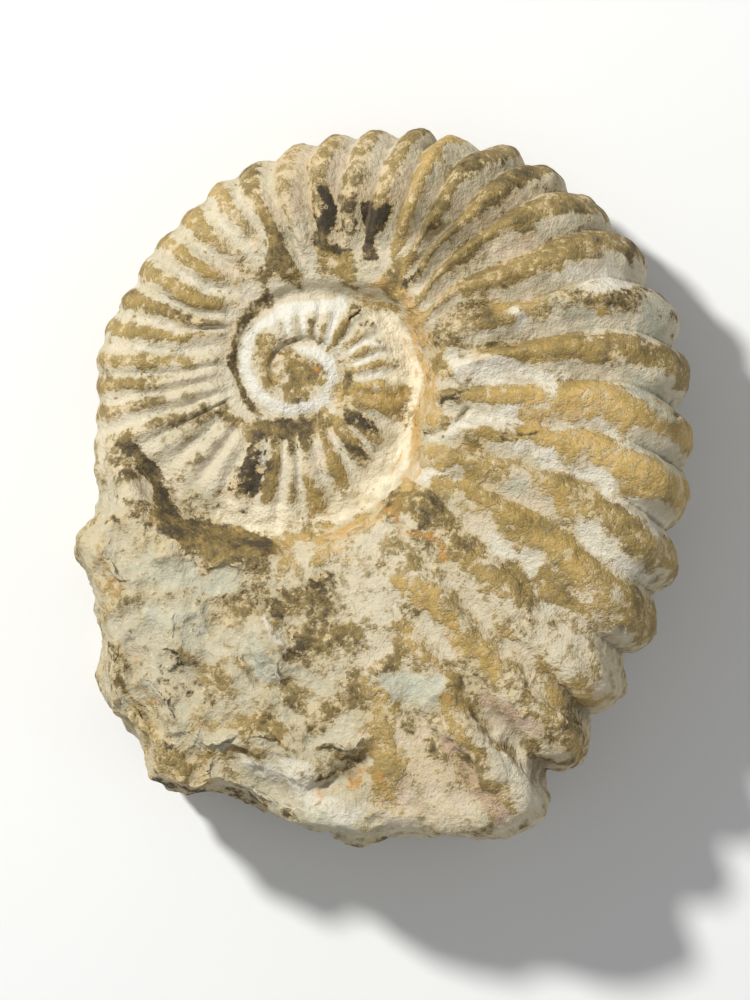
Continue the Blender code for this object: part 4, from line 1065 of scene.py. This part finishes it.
def makeStoneMaterial():
    material = bpy.data.materials.new("fossilStone")
    material.use_nodes = True
    tree, looks = material.node_tree, stoneLooks
    where = newNode(tree, "ShaderNodeTexCoord").outputs["Object"]
    names = ("crust", "tone", "rough", "hollow", "across", *paintLayers)
    fields = {name: painted(tree, name) for name in names}

    def grain(at, size, detail):
        return (noise(tree, at, size * mm, detail, looks["grainRoughness"]) - 0.5) * looks["grainGain"]

    def total(weights):
        return sum(fields[name] * weight for name, weight in weights.items())

    for name, size in looks["grains"].items():
        fields[name] = grain(where, size, looks["grainDetail"])
    fields["ragged"] = total(looks["ragged"])
    flakes = grain(where, looks["flakeSize"], looks["flakeDetail"])
    fields["flakes"] = flakes + fields["sand"] * looks["flakeSand"]
    fields["bare"] = fields["flakes"].ease(*looks["bareEdge"]) * looks["bareShare"]
    x, y, _ = parts(tree, where)
    axisX, axisY = coilShape["axis"]
    angle = heading(x - axisX * mm, y - axisY * mm)
    streakPlace = vector(tree, angle * looks["streakLength"], fields["across"] * mm, 0.0)
    fields["streaks"] = grain(streakPlace, looks["streakSize"], looks["grainDetail"])
    fields["streaked"] = fields["streak"].ease(*looks["streakEdge"])
    tone = total(looks["tone"]).least(1).most(0)

    result = linear(looks["warm"])
    for name, colour, weights, begins, full, strength in looks["covers"]:
        cover = total(weights).ease(begins, full)
        if colour == "crustTones":
            colour = crustColour(tree, tone)
            fields["crustCover"] = cover
            fields["onLight"] = (1 - cover * tone.ease(*looks["darkTones"])) * looks["fleckShare"]
        else:
            colour = linear(colour)
        feeds = {"Factor": cover * fields.get(strength, strength), "A": result, "B": colour}
        result = newNode(tree, "ShaderNodeMix", feeds, data_type="RGBA", label=name).outputs["Result"]

    smoothest, roughest = looks["roughness"]
    dullness = total(looks["dullness"]).ease(*looks["dullEdge"]) * (roughest - smoothest) + smoothest
    bump = newNode(tree, "ShaderNodeBump", {"Distance": looks["bumpHeight"], "Height": total(looks["bump"])})
    shader = tree.nodes["Principled BSDF"]
    tree.links.new(result, shader.inputs["Base Color"])
    tree.links.new(dullness.socket, shader.inputs["Roughness"])
    tree.links.new(bump.outputs["Normal"], shader.inputs["Normal"])


studio = {
    "aim": (-1.9, -2.66),        # millimetres, the middle of the view
    "distance": 2.0,             # metres, as the rest
    "rimHeight": 0.024,
    "frameHeight": 0.21277,      # what the view takes in of the plane at the rim's height
    "clipEnd": 10,
    "sensor": 36.0,              # millimetres
    "lit": (0, 0, 0.03),         # what the lights point at
    "lights": (                  # name, place, size, power, colour
        ("keyLight", (-0.71, 0.66, 1.06), 0.15, 23, (1.0, 0.985, 0.955)),
        ("fillLight", (0.9, -0.5, 1.1), 1.4, 3, (0.97, 0.98, 1.0))),
    "world": {"Color": (0.99, 0.99, 1.0, 1), "Strength": 0.31},
    "floorHalf": 3.0,
    "floor": {"Base Color": (0.8, 0.81, 0.81, 1), "Roughness": 0.9},
}


def addLight(name, where, size, power, colour):
    light = bpy.data.lights.new(name, "AREA")
    light.shape, light.size, light.energy, light.color = "DISK", size, power, colour
    item = bpy.data.objects.new(name, light)
    item.location = where
    item.rotation_euler = (item.location - Vector(studio["lit"])).to_track_quat("Z", "Y").to_euler()
    bpy.context.scene.collection.objects.link(item)


def setInputs(holder, kind, values):     # the inputs of one node of a world or a material
    holder.use_nodes = True
    for name, value in values.items():
        holder.node_tree.nodes[kind].inputs[name].default_value = value


def setStudio():
    scene = bpy.context.scene
    camera = bpy.data.objects.new("camera", bpy.data.cameras.new("camera"))
    scene.collection.objects.link(camera)
    camera.data.sensor_width = studio["sensor"]
    camera.data.lens = studio["sensor"] * studio["distance"] / studio["frameHeight"]
    camera.data.clip_end = studio["clipEnd"]
    aimX, aimY = studio["aim"]
    camera.location = (aimX * mm, aimY * mm, studio["distance"] + studio["rimHeight"])
    scene.camera = camera
    for light in studio["lights"]:
        addLight(*light)
    scene.world = bpy.data.worlds.new("studioWorld")
    setInputs(scene.world, "Background", studio["world"])
    scene.view_settings.view_transform = "Standard"

    mesh, half = bpy.data.meshes.new("studioFloor"), studio["floorHalf"]
    corners = [(-half, -half, 0), (half, -half, 0), (half, half, 0), (-half, half, 0)]
    mesh.from_pydata(corners, [], [(0, 1, 2, 3)])
    floor = bpy.data.objects.new("studioFloor", mesh)
    scene.collection.objects.link(floor)
    paint = bpy.data.materials.new("floorPaint")
    setInputs(paint, "Principled BSDF", studio["floor"])
    mesh.materials.append(paint)
    print("studio set")


def centreStone(mesh):
    points = readPoints(mesh)
    points[:, :2] -= (points[:, :2].min(axis=0) + points[:, :2].max(axis=0)) / 2
    points[:, 2] = np.maximum(points[:, 2], 0)
    writePoints(mesh, points * mm)
    mesh.shade_smooth()


setStudio()
makeStoneMaterial()
stone = roughenStone(makeSmoothCoil())
paintStone(stone.data)
centreStone(stone.data)
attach(stone, "root")
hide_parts("ammonite")
